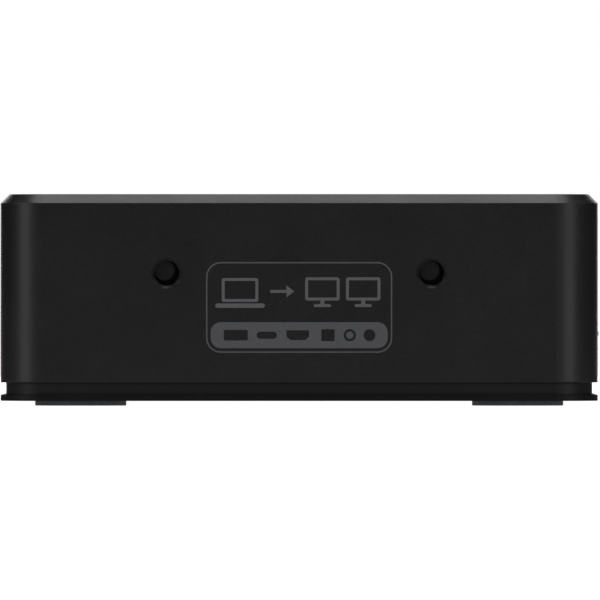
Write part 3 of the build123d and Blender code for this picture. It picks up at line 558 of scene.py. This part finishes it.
# which finish each of the record's material slots wears
slotFinish = {
    "shell_anodised": "anodisedAluminiumBlack",
    "base_plastic": "mouldedAbsBlack",
    "panel_plastic": "mouldedAbsBlack",
    "foot_rubber": "dieCutRubber",
    "screw_steel": "zincPlatedSteel",
    "standoff_brass": "turnedBrass",
    "circuit_board": "solderMaskGreen",
    "insulating_film": "polyesterFilm",
    "chip_epoxy": "mouldedEpoxy",
    "thermal_silicone": "castSilicone",
    "heat_sink_aluminium": "extrudedAluminium",
    "ferrite": "pressedFerrite",
    "capacitor_can": "drawnAluminiumCan",
    "ceramic": "firedCeramic",
    "crystal_can": "nickelPlatedSteel",
    "socket_steel": "nickelPlatedSteel",
    "socket_insert_black": "mouldedPbtBlack",
    "socket_insert_blue": "mouldedPbtBlue",
    "contact_gold": "goldPlatedBronze",
    "light_pipe_clear": "litAcrylicBlue",
    "button_cap": "satinAbsButton",
    "switch_plastic": "mouldedPbtBlack",
}
for part in frame["record"]["subparts"]:
    wearFinish(frame["nodes"][part["node"]], made[slotFinish[part["material_slot"]]])
wearFinish(frame["nodes"]["network_light_guides"], made["clearAcrylicGuide"])
print("finishes on", len(frame["nodes"]), "CAD nodes")


def roundedLoop(width, height, radius, centre=(0, 0), steps=10):
    # a rectangle whose corners are quarter circles: each corner's centre plus radius times
    # the cosine and sine of an angle that runs a quarter turn
    radius = min(radius, width / 2, height / 2)
    turn = np.linspace(0, math.pi / 2, steps)
    corners = []
    for k, (sx, sy) in enumerate(((1, 1), (-1, 1), (-1, -1), (1, -1))):
        angle = turn + k * math.pi / 2
        corner = np.array([sx * (width / 2 - radius), sy * (height / 2 - radius)])
        corners.append(corner + radius * np.stack([np.cos(angle), np.sin(angle)], 1))
    return np.concatenate(corners) + np.array(centre)


def ringLoops(radius, stroke, centre=(0, 0), steps=48):
    # two circles, one inside the other
    angle = np.linspace(0, 2 * math.pi, steps, endpoint=False)
    circle = np.stack([np.cos(angle), np.sin(angle)], 1)
    return [circle * r + np.array(centre) for r in (radius + stroke / 2, radius - stroke / 2)]


def discLoop(radius, centre=(0, 0), steps=32):
    # a circle: radius times the cosine and sine of an angle
    angle = np.linspace(0, 2 * math.pi, steps, endpoint=False)
    return np.stack([np.cos(angle), np.sin(angle)], 1) * radius + np.array(centre)


def barLoop(start, end, stroke):
    # a straight bar from start to end, as wide as the stroke
    start, end = np.array(start, float), np.array(end, float)
    along = (end - start) / np.linalg.norm(end - start)
    side = np.array([-along[1], along[0]]) * stroke / 2
    return np.array([start - side, end - side, end + side, start + side])


def arcLoop(radius, stroke, fromDegrees, toDegrees, centre=(0, 0), steps=24):
    # out along a larger arc and back along a smaller one
    angle = np.radians(np.linspace(fromDegrees, toDegrees, steps))
    arc = np.stack([np.cos(angle), np.sin(angle)], 1)
    loop = np.concatenate([arc * (radius + stroke / 2), arc[::-1] * (radius - stroke / 2)])
    return loop + np.array(centre)


def frameLoops(width, height, radius, stroke, centre=(0, 0)):
    # a rounded rectangle drawn as a line
    inner = roundedLoop(width - 2 * stroke, height - 2 * stroke, max(radius - stroke, 0.02), centre)
    return [roundedLoop(width, height, radius, centre), inner]


inkThickness = 0.016      # a screen-printed coat
labelRecess = 0.2      # how deep the label's field lies in the base


def faceAt(x, y, z, right, up):
    # a face of the case as its middle, its right and its up, seen from outside
    return Vector((x, y, z)), Vector(right), Vector(up)


faces = {
    "left": faceAt(cadLow.x, 0, 0, (0, -1, 0), (0, 0, 1)),
    "front": faceAt(0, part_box("housing_shell")[0].y, 0, (1, 0, 0), (0, 0, 1)),
    "rear": faceAt(0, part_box("rear_panel")[1].y, 0, (-1, 0, 0), (0, 0, 1)),
    "button": faceAt(0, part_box("power_button")[0].y, 0, (1, 0, 0), (0, 0, 1)),
    "under": faceAt(0, 0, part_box("base_plate")[0].z + labelRecess * mm, (1, 0, 0), (0, -1, 0)),
}


def printOn(name, face, loops, material, body="dock", layer=0):
    # A flat filled curve: areas inside an even number of loops stay open. It is made a mesh,
    # and each point goes to the face's middle plus its own x along right and y along up.
    curve = bpy.data.curves.new(name, "CURVE")
    curve.dimensions = "2D"
    curve.fill_mode = "BOTH"
    curve.extrude = inkThickness / 2
    for loop in loops:
        spline = curve.splines.new("POLY")
        spline.points.add(len(loop) - 1)
        flat = np.zeros((len(loop), 4))
        flat[:, :2] = loop
        flat[:, 3] = 1
        spline.points.foreach_set("co", flat.ravel())
        spline.use_cyclic_u = True
    drawing = bpy.data.objects.new(name + "Drawing", curve)
    bpy.context.scene.collection.objects.link(drawing)
    bpy.context.view_layer.update()
    shown = drawing.evaluated_get(bpy.context.evaluated_depsgraph_get())
    mesh = bpy.data.meshes.new_from_object(shown)
    bpy.data.objects.remove(drawing)
    bpy.data.curves.remove(curve)
    points = np.zeros(len(mesh.vertices) * 3)
    mesh.vertices.foreach_get("co", points)
    points = points.reshape(-1, 3)
    origin, right, up = faces[face]
    axes = np.array([right, up, right.cross(up)])
    points[:, 2] += inkThickness / 2 + layer * inkThickness / 2
    placed = np.array(origin) + points @ axes * mm
    mesh.vertices.foreach_set("co", placed.ravel())
    mesh.name = name
    mesh.materials.clear()
    mesh.materials.append(material)
    obj = bpy.data.objects.new(name, mesh)
    bpy.context.scene.collection.objects.link(obj)
    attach(obj, body)
    return obj


def shifted(loops, x, y):
    # the same outlines, moved right by x and up by y
    return [loop + np.array([x, y]) for loop in loops]


def monitorLoops(width, height, stroke):
    # a screen on a short foot
    screen = frameLoops(width, height, 0.35, stroke)
    neck = [barLoop((0, -height / 2), (0, -height / 2 - 0.5), stroke * 1.4)]
    foot = [roundedLoop(width * 0.5, stroke, stroke / 2, (0, -height / 2 - 0.5 - stroke / 2))]
    return screen + neck + foot


def laptopLoops(width, height, stroke):
    # a screen above a longer, thicker bar
    screen = frameLoops(width, height, 0.35, stroke)
    keys = [roundedLoop(width * 1.35, stroke * 1.5, stroke * 0.7, (0, -height / 2 - stroke * 1.25))]
    return screen + keys


def arrowLoops(length, stroke):
    # a shaft that widens into a pointed head, as one outline
    half, neck, tip = stroke / 2, length / 2 - 1.1, length / 2
    return [np.array([
        (-tip, -half), (neck, -half), (neck, -0.85), (tip, 0), (neck, 0.85), (neck, half),
        (-tip, half),
    ])]


endBadge = dict(
    width=26.45, height=12.9, corner=2.1, line=0.2, level=14.0,
    barHeight=3.7, barGap=0.45,      # the bar, and how far it stands in from the outline
    flat=(-9.0, 3.4, 1.5), roundEnded=(-4.6, 2.9, 1.0), video=(-0.2, 3.2, 1.4),
    network=(4.1, 1.9, 1.7), headset=(7.2, 0.7, 0.35), power=(10.0, 0.85),
    stroke=0.42, laptop=(-8.4, 5.2, 3.4), arrow=(-2.4, 3.4), screens=(3.3, 9.1), screen=(4.9, 3.3),
)


def badgeSockets(b):
    # outlines of plain sockets in a row; each entry gives its place, then its sizes
    flat, roundEnded, network = b["flat"], b["roundEnded"], b["network"]
    half, rise = b["video"][1] / 2, b["video"][2] / 2
    slope, foot = 0.55, 0.2      # the video socket's cut corners start here
    video = np.array([
        (-half, rise), (-half, -foot), (-half + slope, -rise), (half - slope, -rise), (half, -foot),
        (half, rise),
    ])
    loops = shifted([roundedLoop(flat[1], flat[2], 0.15)], flat[0], 0)
    loops += shifted([roundedLoop(roundEnded[1], roundEnded[2], 0.5)], roundEnded[0], 0)
    loops += shifted([video], b["video"][0], 0)
    loops += shifted([roundedLoop(network[1], network[2], 0.12)], network[0], 0)
    loops += shifted(ringLoops(b["headset"][1], b["headset"][2]), b["headset"][0], 0)
    return loops + shifted([discLoop(b["power"][1])], b["power"][0], 0)


def badgeMarks(b):
    # a laptop, an arrow and two screens
    place, width, height = b["laptop"]
    loops = shifted(laptopLoops(width, height, b["stroke"]), place, 0.2)
    loops += shifted(arrowLoops(b["arrow"][1], b["stroke"]), b["arrow"][0], 0)
    for place in b["screens"]:
        loops += shifted(monitorLoops(*b["screen"], b["stroke"]), place, 0.35)
    return loops


def makeEndBadge(b):
    # a thin rounded outline, a solid bar low inside it with sockets knocked out, and the marks
    outline = shifted(frameLoops(b["width"], b["height"], b["corner"], b["line"]), 0, b["level"])
    printOn("endBadgeOutline", "left", outline, made["screenInkGrey"])
    inset = b["line"] + b["barGap"]
    barWidth = b["width"] - 2 * inset
    barLevel = b["level"] - b["height"] / 2 + inset + b["barHeight"] / 2
    bar = [roundedLoop(barWidth, b["barHeight"], b["corner"] - inset)] + badgeSockets(b)
    bar = shifted(bar, 0, barLevel)
    printOn("endBadgeBar", "left", bar, made["screenInkGrey"])
    room = b["height"] - inset - b["barHeight"]
    marks = shifted(badgeMarks(b), 0, barLevel + b["barHeight"] / 2 + room / 2 + 0.1)
    printOn("endBadgePictograms", "left", marks, made["screenInkPale"])


makeEndBadge(endBadge)


def standbyLoops(radius, stroke):
    # an open ring with a short bar in its gap
    bar = barLoop((0, radius * 0.25), (0, radius * 1.25), stroke)
    return [arcLoop(radius, stroke, 125, 415), bar]


def headsetLoops(radius, stroke):
    # a half ring with a pad at each end
    pads = [roundedLoop(0.55, 1.1, 0.2, (s * radius, -0.45)) for s in (-1, 1)]
    return [arcLoop(radius, stroke, 0, 180)] + pads


def digitLoops(digit):
    # a plain 1 or 2, 1.6 mm tall, from straight bars
    if digit == 1:
        return [np.array([
            (-0.12, -0.8), (0.12, -0.8), (0.12, 0.8), (-0.1, 0.8), (-0.4, 0.5), (-0.12, 0.5),
        ])]
    return [np.array([
        (-0.45, -0.8), (0.45, -0.8), (0.45, -0.57), (-0.12, -0.57), (0.45, 0.05), (0.45, 0.55),
        (0.2, 0.8), (-0.2, 0.8), (-0.45, 0.55), (-0.22, 0.5), (-0.12, 0.57), (0.12, 0.57),
        (0.22, 0.47), (0.22, 0.13), (-0.45, -0.6),
    ])]


def networkLoops(stroke):
    # three small boxes joined by a bus line
    boxes = [roundedLoop(0.75, 0.6, 0.05, c) for c in ((0, 0.75), (-0.9, -0.7), (0.9, -0.7))]
    lines = [
        barLoop((0, 0.45), (0, 0.06), stroke),
        barLoop((-0.9 - stroke / 2, 0), (0.9 + stroke / 2, 0), stroke * 0.8),
        barLoop((-0.9, -0.06), (-0.9, -0.4), stroke),
        barLoop((0.9, -0.06), (0.9, -0.4), stroke),
    ]
    return boxes + lines


def middle(node):
    # the middle of a CAD node's box, in millimetres
    low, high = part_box(node)
    return (low + high) / 2 / mm


portMarks = dict(
    stroke=0.2, above=6.3, level=middle("power_button").z,
    roundEnded=(2.2, 0.8), flat=(2.6, 1.1), headset=0.85, standby=(1.15, 0.24),
    laptop=(2.0, 1.3), screen=(2.1, 1.4), aside=1.2, netAbove=1.9,
    inletAbove=7.6, direct=2.2, dash=0.5, dashes=(-1.1, -0.25, 0.6),
)
label = dict(width=62, height=32, corner=1.6, margin=1.0, line=0.25, rule=6, ruleLine=0.2)


def frontMarks(p, row):
    # over the front sockets: a round-ended slot, two flat ones and a headset
    loops = shifted([roundedLoop(*p["roundEnded"], 0.4)], middle("front_type_c_shell").x, row)
    for name in ("front_type_a_left_shell", "front_type_a_right_shell"):
        loops += shifted(frameLoops(*p["flat"], 0.1, p["stroke"]), middle(name).x, row)
    headset = headsetLoops(p["headset"], p["stroke"])
    return loops + shifted(headset, middle("headset_jack_ring").x, row)


def rearMarks(p, row):
    # over the rear sockets, whose right is the other way: a laptop, two numbered screens, a
    # network and the sign for direct current, a bar over three dashes
    laptop = laptopLoops(*p["laptop"], p["stroke"])
    loops = shifted(laptop, -middle("host_type_c_shell").x, row)
    for digit, name in ((1, "video_port_left_shell"), (2, "video_port_right_shell")):
        x = -middle(name).x
        loops += shifted(monitorLoops(*p["screen"], p["stroke"]), x - p["aside"], row + 0.3)
        loops += shifted(digitLoops(digit), x + p["aside"] + 0.1, row)
    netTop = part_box("network_socket_shield")[1].z / mm
    network = networkLoops(p["stroke"])
    loops += shifted(network, -middle("network_socket_shield").x, netTop + p["netAbove"])
    inlet = middle("power_inlet_body")
    half = p["direct"] / 2
    direct = [barLoop((-half, 0.3), (half, 0.3), p["stroke"])]
    direct += [barLoop((x, -0.3), (x + p["dash"], -0.3), p["stroke"]) for x in p["dashes"]]
    return loops + shifted(direct, -inlet.x, inlet.z + p["inletAbove"])


def makePortMarks(p, tag):
    # small pictograms above the sockets, front and rear, the standby mark on the button, and
    # an empty label with a frame and one rule in the field underneath
    row = p["level"] + p["above"]
    pale = made["screenInkPale"]
    printOn("frontPortMarks", "front", frontMarks(p, row), pale)
    standby = shifted(standbyLoops(*p["standby"]), middle("power_button").x, p["level"])
    printOn("buttonStandbyMark", "button", standby, pale, body="button")
    printOn("rearPortMarks", "rear", rearMarks(p, row), pale)
    field = [roundedLoop(tag["width"], tag["height"], tag["corner"])]
    printOn("underLabel", "under", field, made["screenInkBlack"])
    width, height = tag["width"] - 2 * tag["margin"], tag["height"] - 2 * tag["margin"]
    lines = frameLoops(width, height, tag["corner"] - 0.4, tag["line"])
    lines += [barLoop((-width / 2, tag["rule"]), (width / 2, tag["rule"]), tag["ruleLine"])]
    printOn("underLabelLines", "under", lines, made["screenInkGrey"], layer=1)


makePortMarks(portMarks, label)
print("printed marks made")


def turnedPiece(name, profile, centre, body, material, steps=96):
    # a profile of (radius, height) points carried round an upright axis; both ends of the
    # profile lie on the axis, so the skin is closed
    profile = np.array(profile, float) * mm
    angle = np.linspace(0, 2 * math.pi, steps, endpoint=False)
    ring = profile[1:-1]
    x = ring[:, 0, None] * np.cos(angle)
    y = ring[:, 0, None] * np.sin(angle)
    z = np.repeat(ring[:, 1, None], steps, 1)
    points = np.stack([x, y, z], 2).reshape(-1, 3)
    first, last = len(points), len(points) + 1
    poles = np.array([[0, 0, profile[0, 1]], [0, 0, profile[-1, 1]]])
    points = np.concatenate([points, poles]) + np.array(centre)
    rows = len(ring)
    faceList = gridFaces(rows, steps, closeColumns=True)
    around = np.arange(steps)
    after = (around + 1) % steps
    faceList += np.stack([np.full(steps, first), around, after], 1).tolist()
    top = (rows - 1) * steps
    faceList += np.stack([np.full(steps, last), top + after, top + around], 1).tolist()
    return meshPiece(name, points, faceList, body, material)


footPad = dict(
    edge=0.12, ringPitch=0.8, ringDepth=0.08, dish=3.4, dishFade=0.4, plain=0.9, step=0.08,
    chamfer=0.1,
)


def makeFeet(f):
    # a low disc with a rounded rim; its underside has shallow moulded rings that fade out
    # towards a plain middle: height is ringDepth times half of one less a cosine of radius
    for corner in ("front_left", "front_right", "rear_left", "rear_right"):
        node = "foot_" + corner
        low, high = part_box(node)
        centre = Vector(((low.x + high.x) / 2, (low.y + high.y) / 2, low.z))
        radius, height = (high.x - low.x) / 2 / mm, (high.z - low.z) / mm
        turn = np.linspace(0, math.pi / 2, 7)
        inner = np.arange(0.001, radius - f["edge"] - f["plain"], f["step"])
        dips = f["ringDepth"] * (0.5 - 0.5 * np.cos(2 * math.pi * inner / f["ringPitch"]))
        dips *= np.clip((inner - f["dish"]) / f["dishFade"], 0, 1)
        under = np.stack([inner, dips], 1)
        rim = np.stack([
            radius - f["edge"] + f["edge"] * np.sin(turn), f["edge"] - f["edge"] * np.cos(turn)
        ], 1)
        wall = np.array([
            (radius, height - f["chamfer"]), (radius - f["chamfer"], height),
            (radius * 0.5, height),
        ])
        profile = np.concatenate([[(0, 0)], under[1:], rim, wall, [(0, height)]])
        name = "footPad" + corner.title().replace("_", "")
        pad = turnedPiece(name, profile, centre, "dock", made["dieCutRubber"])
        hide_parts(node)


makeFeet(footPad)


def bentStrips(name, strips, width, thickness, material):
    # Each strip is a closed ribbon: its middle line is a function of one parameter, given as
    # points, and its four-cornered section is carried along that line.
    points, faceList = [], []
    for line, side, normal in strips:
        side, normal = np.array(side) * width / 2, np.array(normal) * thickness / 2
        section = np.array([side + normal, -side + normal, -side - normal, side - normal])
        tube = (line[:, None, :] + section[None, :, :]).reshape(-1, 3)
        start = sum(len(p) for p in points)
        quads = np.array(gridFaces(len(line), 4, closeColumns=True)) + start
        ends = [[start + k for k in (3, 2, 1, 0)], [start + len(tube) - 4 + k for k in range(4)]]
        points.append(tube)
        faceList += quads.tolist() + ends
    points = np.concatenate(points) * mm
    obj = meshPiece(name, points, faceList, "dock", material, smooth=False)
    fixNormals(obj)
    return obj


def fixNormals(obj):
    # turns every face of a closed skin outwards
    work = bmesh.new()
    work.from_mesh(obj.data)
    bmesh.ops.recalc_face_normals(work, faces=work.faces)
    work.to_mesh(obj.data)
    work.free()


springs = dict(
    width=2.0, thickness=0.15, length=5.0, reach=0.55, setback=1.2, count=14, stretch=1.15,
    opening=5.12, aside=3.2, stackRise=3.9, clearance=0.01,
)


def flatOpenings(s):
    # every flat socket's opening as its middle x, its front, its level and which way is inwards
    openings = []
    for name in ("front_type_a_left_shell", "front_type_a_right_shell"):
        openings.append((middle(name).x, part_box(name)[0].y / mm, portMarks["level"], 1))
    for name in ("rear_stack_left_shell", "rear_stack_right_shell"):
        centre, face = middle(name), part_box(name)[1].y / mm
        for rise in (-s["stackRise"], s["stackRise"]):
            openings.append((centre.x, face, centre.z + rise, -1))
    return openings


def flatSocketSprings(s):
    # Two leaf springs above and two below each flat socket's opening. A spring's line runs
    # inwards along the wall and bows into the opening as a half sine wave.
    strips = []
    along = np.linspace(0, 1, s["count"])
    bow = s["reach"] * np.sin(math.pi * np.clip(along * s["stretch"], 0, 1))
    wall = s["opening"] / 2 - s["thickness"] / 2 - s["clearance"]
    for x, face, level, inwards in flatOpenings(s):
        for side in (-s["aside"], s["aside"]):
            for upDown in (-1, 1):
                line = np.stack([
                    np.full(s["count"], x + side),
                    face + inwards * (s["setback"] + along * s["length"]),
                    level + upDown * (wall - bow),
                ], 1)
                strips.append((line, (1, 0, 0), (0, 0, 1)))
    bentStrips("flatSocketSprings", strips, s["width"], s["thickness"],
               made["nickelPlatedSteel"])


flatSocketSprings(springs)

wires = dict(thickness=0.36, pitch=1.02, slope=2.6, points=16, count=8)


def networkWires(w):
    # Eight spring wires that leave the socket's roof and lean down and back: the level falls
    # as a smooth step, three times the square less twice the cube of the parameter.
    low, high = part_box("network_contacts")
    centre = middle("network_contacts").x
    roof, front, back = high.z / mm - w["thickness"] / 2, high.y / mm, low.y / mm
    along = np.linspace(0, 1, w["points"])
    drop = w["slope"] * (3 * along ** 2 - 2 * along ** 3)
    strips = []
    for k in range(w["count"]):
        x = centre + (k - (w["count"] - 1) / 2) * w["pitch"]
        line = np.stack([
            np.full(w["points"], x), front - along * (front - back), roof - drop,
        ], 1)
        strips.append((line, (1, 0, 0), (0, 0, 1)))
    piece = bentStrips("networkSocketWires", strips, w["thickness"], w["thickness"],
                       made["goldPlatedBronze"])
    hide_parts("network_contacts")


networkWires(wires)
print("feet, springs and wires made")


studio = dict(
    lens=1500.0, sensor=36.0, margin=1.0021, aside=0.02, corner=6.0, farthest=50.0,
    floorReach=6.0, floorColour="#e6e6e6", floorGlow=1.0, roomGrey=0.003,
)


def makeCamera(s):
    # square on to the left end, from far off through a long lens, so that it is almost flat
    data = bpy.data.cameras.new("endCamera")
    data.lens = s["lens"]
    data.sensor_width = s["sensor"]
    data.clip_end = s["farthest"]
    camera = bpy.data.objects.new("endCamera", data)
    bpy.context.scene.collection.objects.link(camera)
    low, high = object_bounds()
    width = (high.y - low.y) * s["margin"]
    distance = width * s["lens"] / s["sensor"]      # from where the round corners end
    middleY = (low.y + high.y) / 2 - s["aside"] * mm
    camera.location = (low.x + s["corner"] * mm - distance, middleY, (low.z + high.z) / 2)
    camera.rotation_euler = (math.pi / 2, 0, -math.pi / 2)
    bpy.context.scene.camera = camera


# The dock stands on a table with two lit fields, which light the feet and the groove from below
# and show in the upright faces. One lies under and beyond the left end, the other along the two
# long sides and the right end. Each fades away from the dock. Lengths are in metres.
leftField = dict(
    bright=0.30, edge=-0.085, fade=0.01, length=0.6, near=0.2, half=0.25, softness=0.05,
)
sideField = dict(bright=1.0, edge=-0.05, fade=0.03, reach=0.15)
tableColour = "#505050"


def fieldStrength(tree, bright, fades):
    # brightness times one fade for each edge, where a fade runs from nothing at its first
    # place to all of it at its second
    strength = addNode(tree, "ShaderNodeValue").outputs[0]
    strength.default_value = bright
    for source, nothing, full in fades:
        strength = addNode(
            tree, "ShaderNodeMapRange", {"From Min": nothing, "From Max": full},
            {"Value": source, "To Max": strength},
        ).outputs[0]
    return strength


def makeFloor(s, left, side):
    # A wide pale table. The eye sees it white; every other ray meets a darker one, whose glow
    # is that of the two lit fields.
    mesh = bpy.data.meshes.new("paleFloor")
    reach = s["floorReach"]
    corners = [(-reach, -reach, 0), (reach, -reach, 0), (reach, reach, 0), (-reach, reach, 0)]
    mesh.from_pydata(corners, [], [(0, 1, 2, 3)])
    floor = bpy.data.objects.new("paleFloor", mesh)
    bpy.context.scene.collection.objects.link(floor)
    material, tree = newMaterial("paleTable")
    seen = addNode(tree, "ShaderNodeLightPath").outputs["Is Camera Ray"]
    pale = addNode(tree, "ShaderNodeBsdfDiffuse", {"Color": toLinear(s["floorColour"])})
    glow = addNode(
        tree, "ShaderNodeEmission", {"Color": (1, 1, 1, 1), "Strength": s["floorGlow"]}
    )
    white = addNode(tree, "ShaderNodeAddShader", links={0: pale.outputs[0], 1: glow.outputs[0]})
    place = addNode(tree, "ShaderNodeTexCoord").outputs["Object"]
    folded = addNode(tree, "ShaderNodeVectorMath", {"operation": "ABSOLUTE"}, {0: place})
    alongX = addNode(tree, "ShaderNodeSeparateXYZ", links={0: place}).outputs["X"]
    asideY = addNode(tree, "ShaderNodeSeparateXYZ", links={0: folded.outputs[0]}).outputs["Y"]
    leftLit = fieldStrength(tree, left["bright"], [
        (alongX, left["edge"], left["edge"] - left["fade"]),
        (alongX, left["edge"] - left["length"], left["edge"] - left["near"]),
        (asideY, left["half"], left["half"] - left["softness"]),
    ])
    sideLit = fieldStrength(tree, side["bright"], [
        (alongX, side["edge"], side["edge"] + side["fade"]),
        (alongX, cadHigh.x + side["reach"], cadHigh.x),
        (asideY, cadHigh.y + side["reach"], cadHigh.y),
    ])
    lit = addNode(tree, "ShaderNodeMath", {"operation": "ADD"}, {0: leftLit, 1: sideLit})
    dark = addNode(tree, "ShaderNodeBsdfDiffuse", {"Color": toLinear(tableColour)})
    fields = addNode(
        tree, "ShaderNodeEmission", {"Color": (1, 1, 1, 1)}, {"Strength": lit.outputs[0]}
    )
    dim = addNode(tree, "ShaderNodeAddShader", links={0: dark.outputs[0], 1: fields.outputs[0]})
    pick = addNode(
        tree, "ShaderNodeMixShader", links={0: seen, 1: dim.outputs[0], 2: white.outputs[0]}
    )
    addNode(tree, "ShaderNodeOutputMaterial", links={"Surface": pick.outputs[0]})
    mesh.materials.append(material)
    floor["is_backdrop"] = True


def makeRoom(s):
    # white to look at, dim for the light it gives
    world = bpy.data.worlds.new("paleRoom")
    world.use_nodes = True
    tree = world.node_tree
    tree.nodes.clear()
    seen = addNode(tree, "ShaderNodeLightPath").outputs["Is Camera Ray"]
    white = addNode(tree, "ShaderNodeBackground", {"Color": (1, 1, 1, 1), "Strength": 1.0})
    grey = addNode(
        tree, "ShaderNodeBackground", {"Color": (1, 1, 1, 1), "Strength": s["roomGrey"]}
    )
    pick = addNode(
        tree, "ShaderNodeMixShader", links={0: seen, 1: grey.outputs[0], 2: white.outputs[0]}
    )
    addNode(tree, "ShaderNodeOutputWorld", links={"Surface": pick.outputs[0]})
    bpy.context.scene.world = world


lights = {
    # Each softbox is a panel at arm's length: bearing is degrees from the camera's side towards
    # the dock's rear, height is degrees above the table, across and up are how much of the
    # dock's view it fills in degrees, and bright is how bright its cloth is.
    "softboxLeft": dict(bearing=46, height=12, across=25, up=40, bright=1.85),
    "softboxRight": dict(bearing=-36, height=12, across=26, up=40, bright=1.6),
    "softboxTop": dict(bearing=0, height=90, across=29, up=29, bright=3.4),
    "softboxFront": dict(bearing=-86, height=42, across=20, up=24, bright=1.2),
    "softboxRear": dict(bearing=86, height=42, across=20, up=24, bright=1.2),
    "softboxFar": dict(bearing=180, height=12, across=50, up=30, bright=2.0),
}
armLength = 1.2


def makeLights(table):
    low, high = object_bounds()
    aim = (low + high) / 2
    for name, box in table.items():
        bearing, height = math.radians(box["bearing"]), math.radians(box["height"])
        level = math.cos(height)
        towards = Vector((
            -math.cos(bearing) * level, math.sin(bearing) * level, math.sin(height),
        ))
        data = bpy.data.lights.new(name, "AREA")
        data.shape = "RECTANGLE"
        data.size = 2 * armLength * math.tan(math.radians(box["across"] / 2))
        data.size_y = 2 * armLength * math.tan(math.radians(box["up"] / 2))
        data.energy = 4 * box["bright"] * data.size * data.size_y
        lamp = bpy.data.objects.new(name, data)
        bpy.context.scene.collection.objects.link(lamp)
        lamp.location = aim + towards * armLength
        lamp.rotation_euler = towards.to_track_quat("Z", "Y").to_euler()
        lamp.visible_camera = False


makeCamera(studio)
makeFloor(studio, leftField, sideField)
makeRoom(studio)
makeLights(lights)
bpy.context.scene.view_settings.view_transform = "Standard"
print("studio ready")
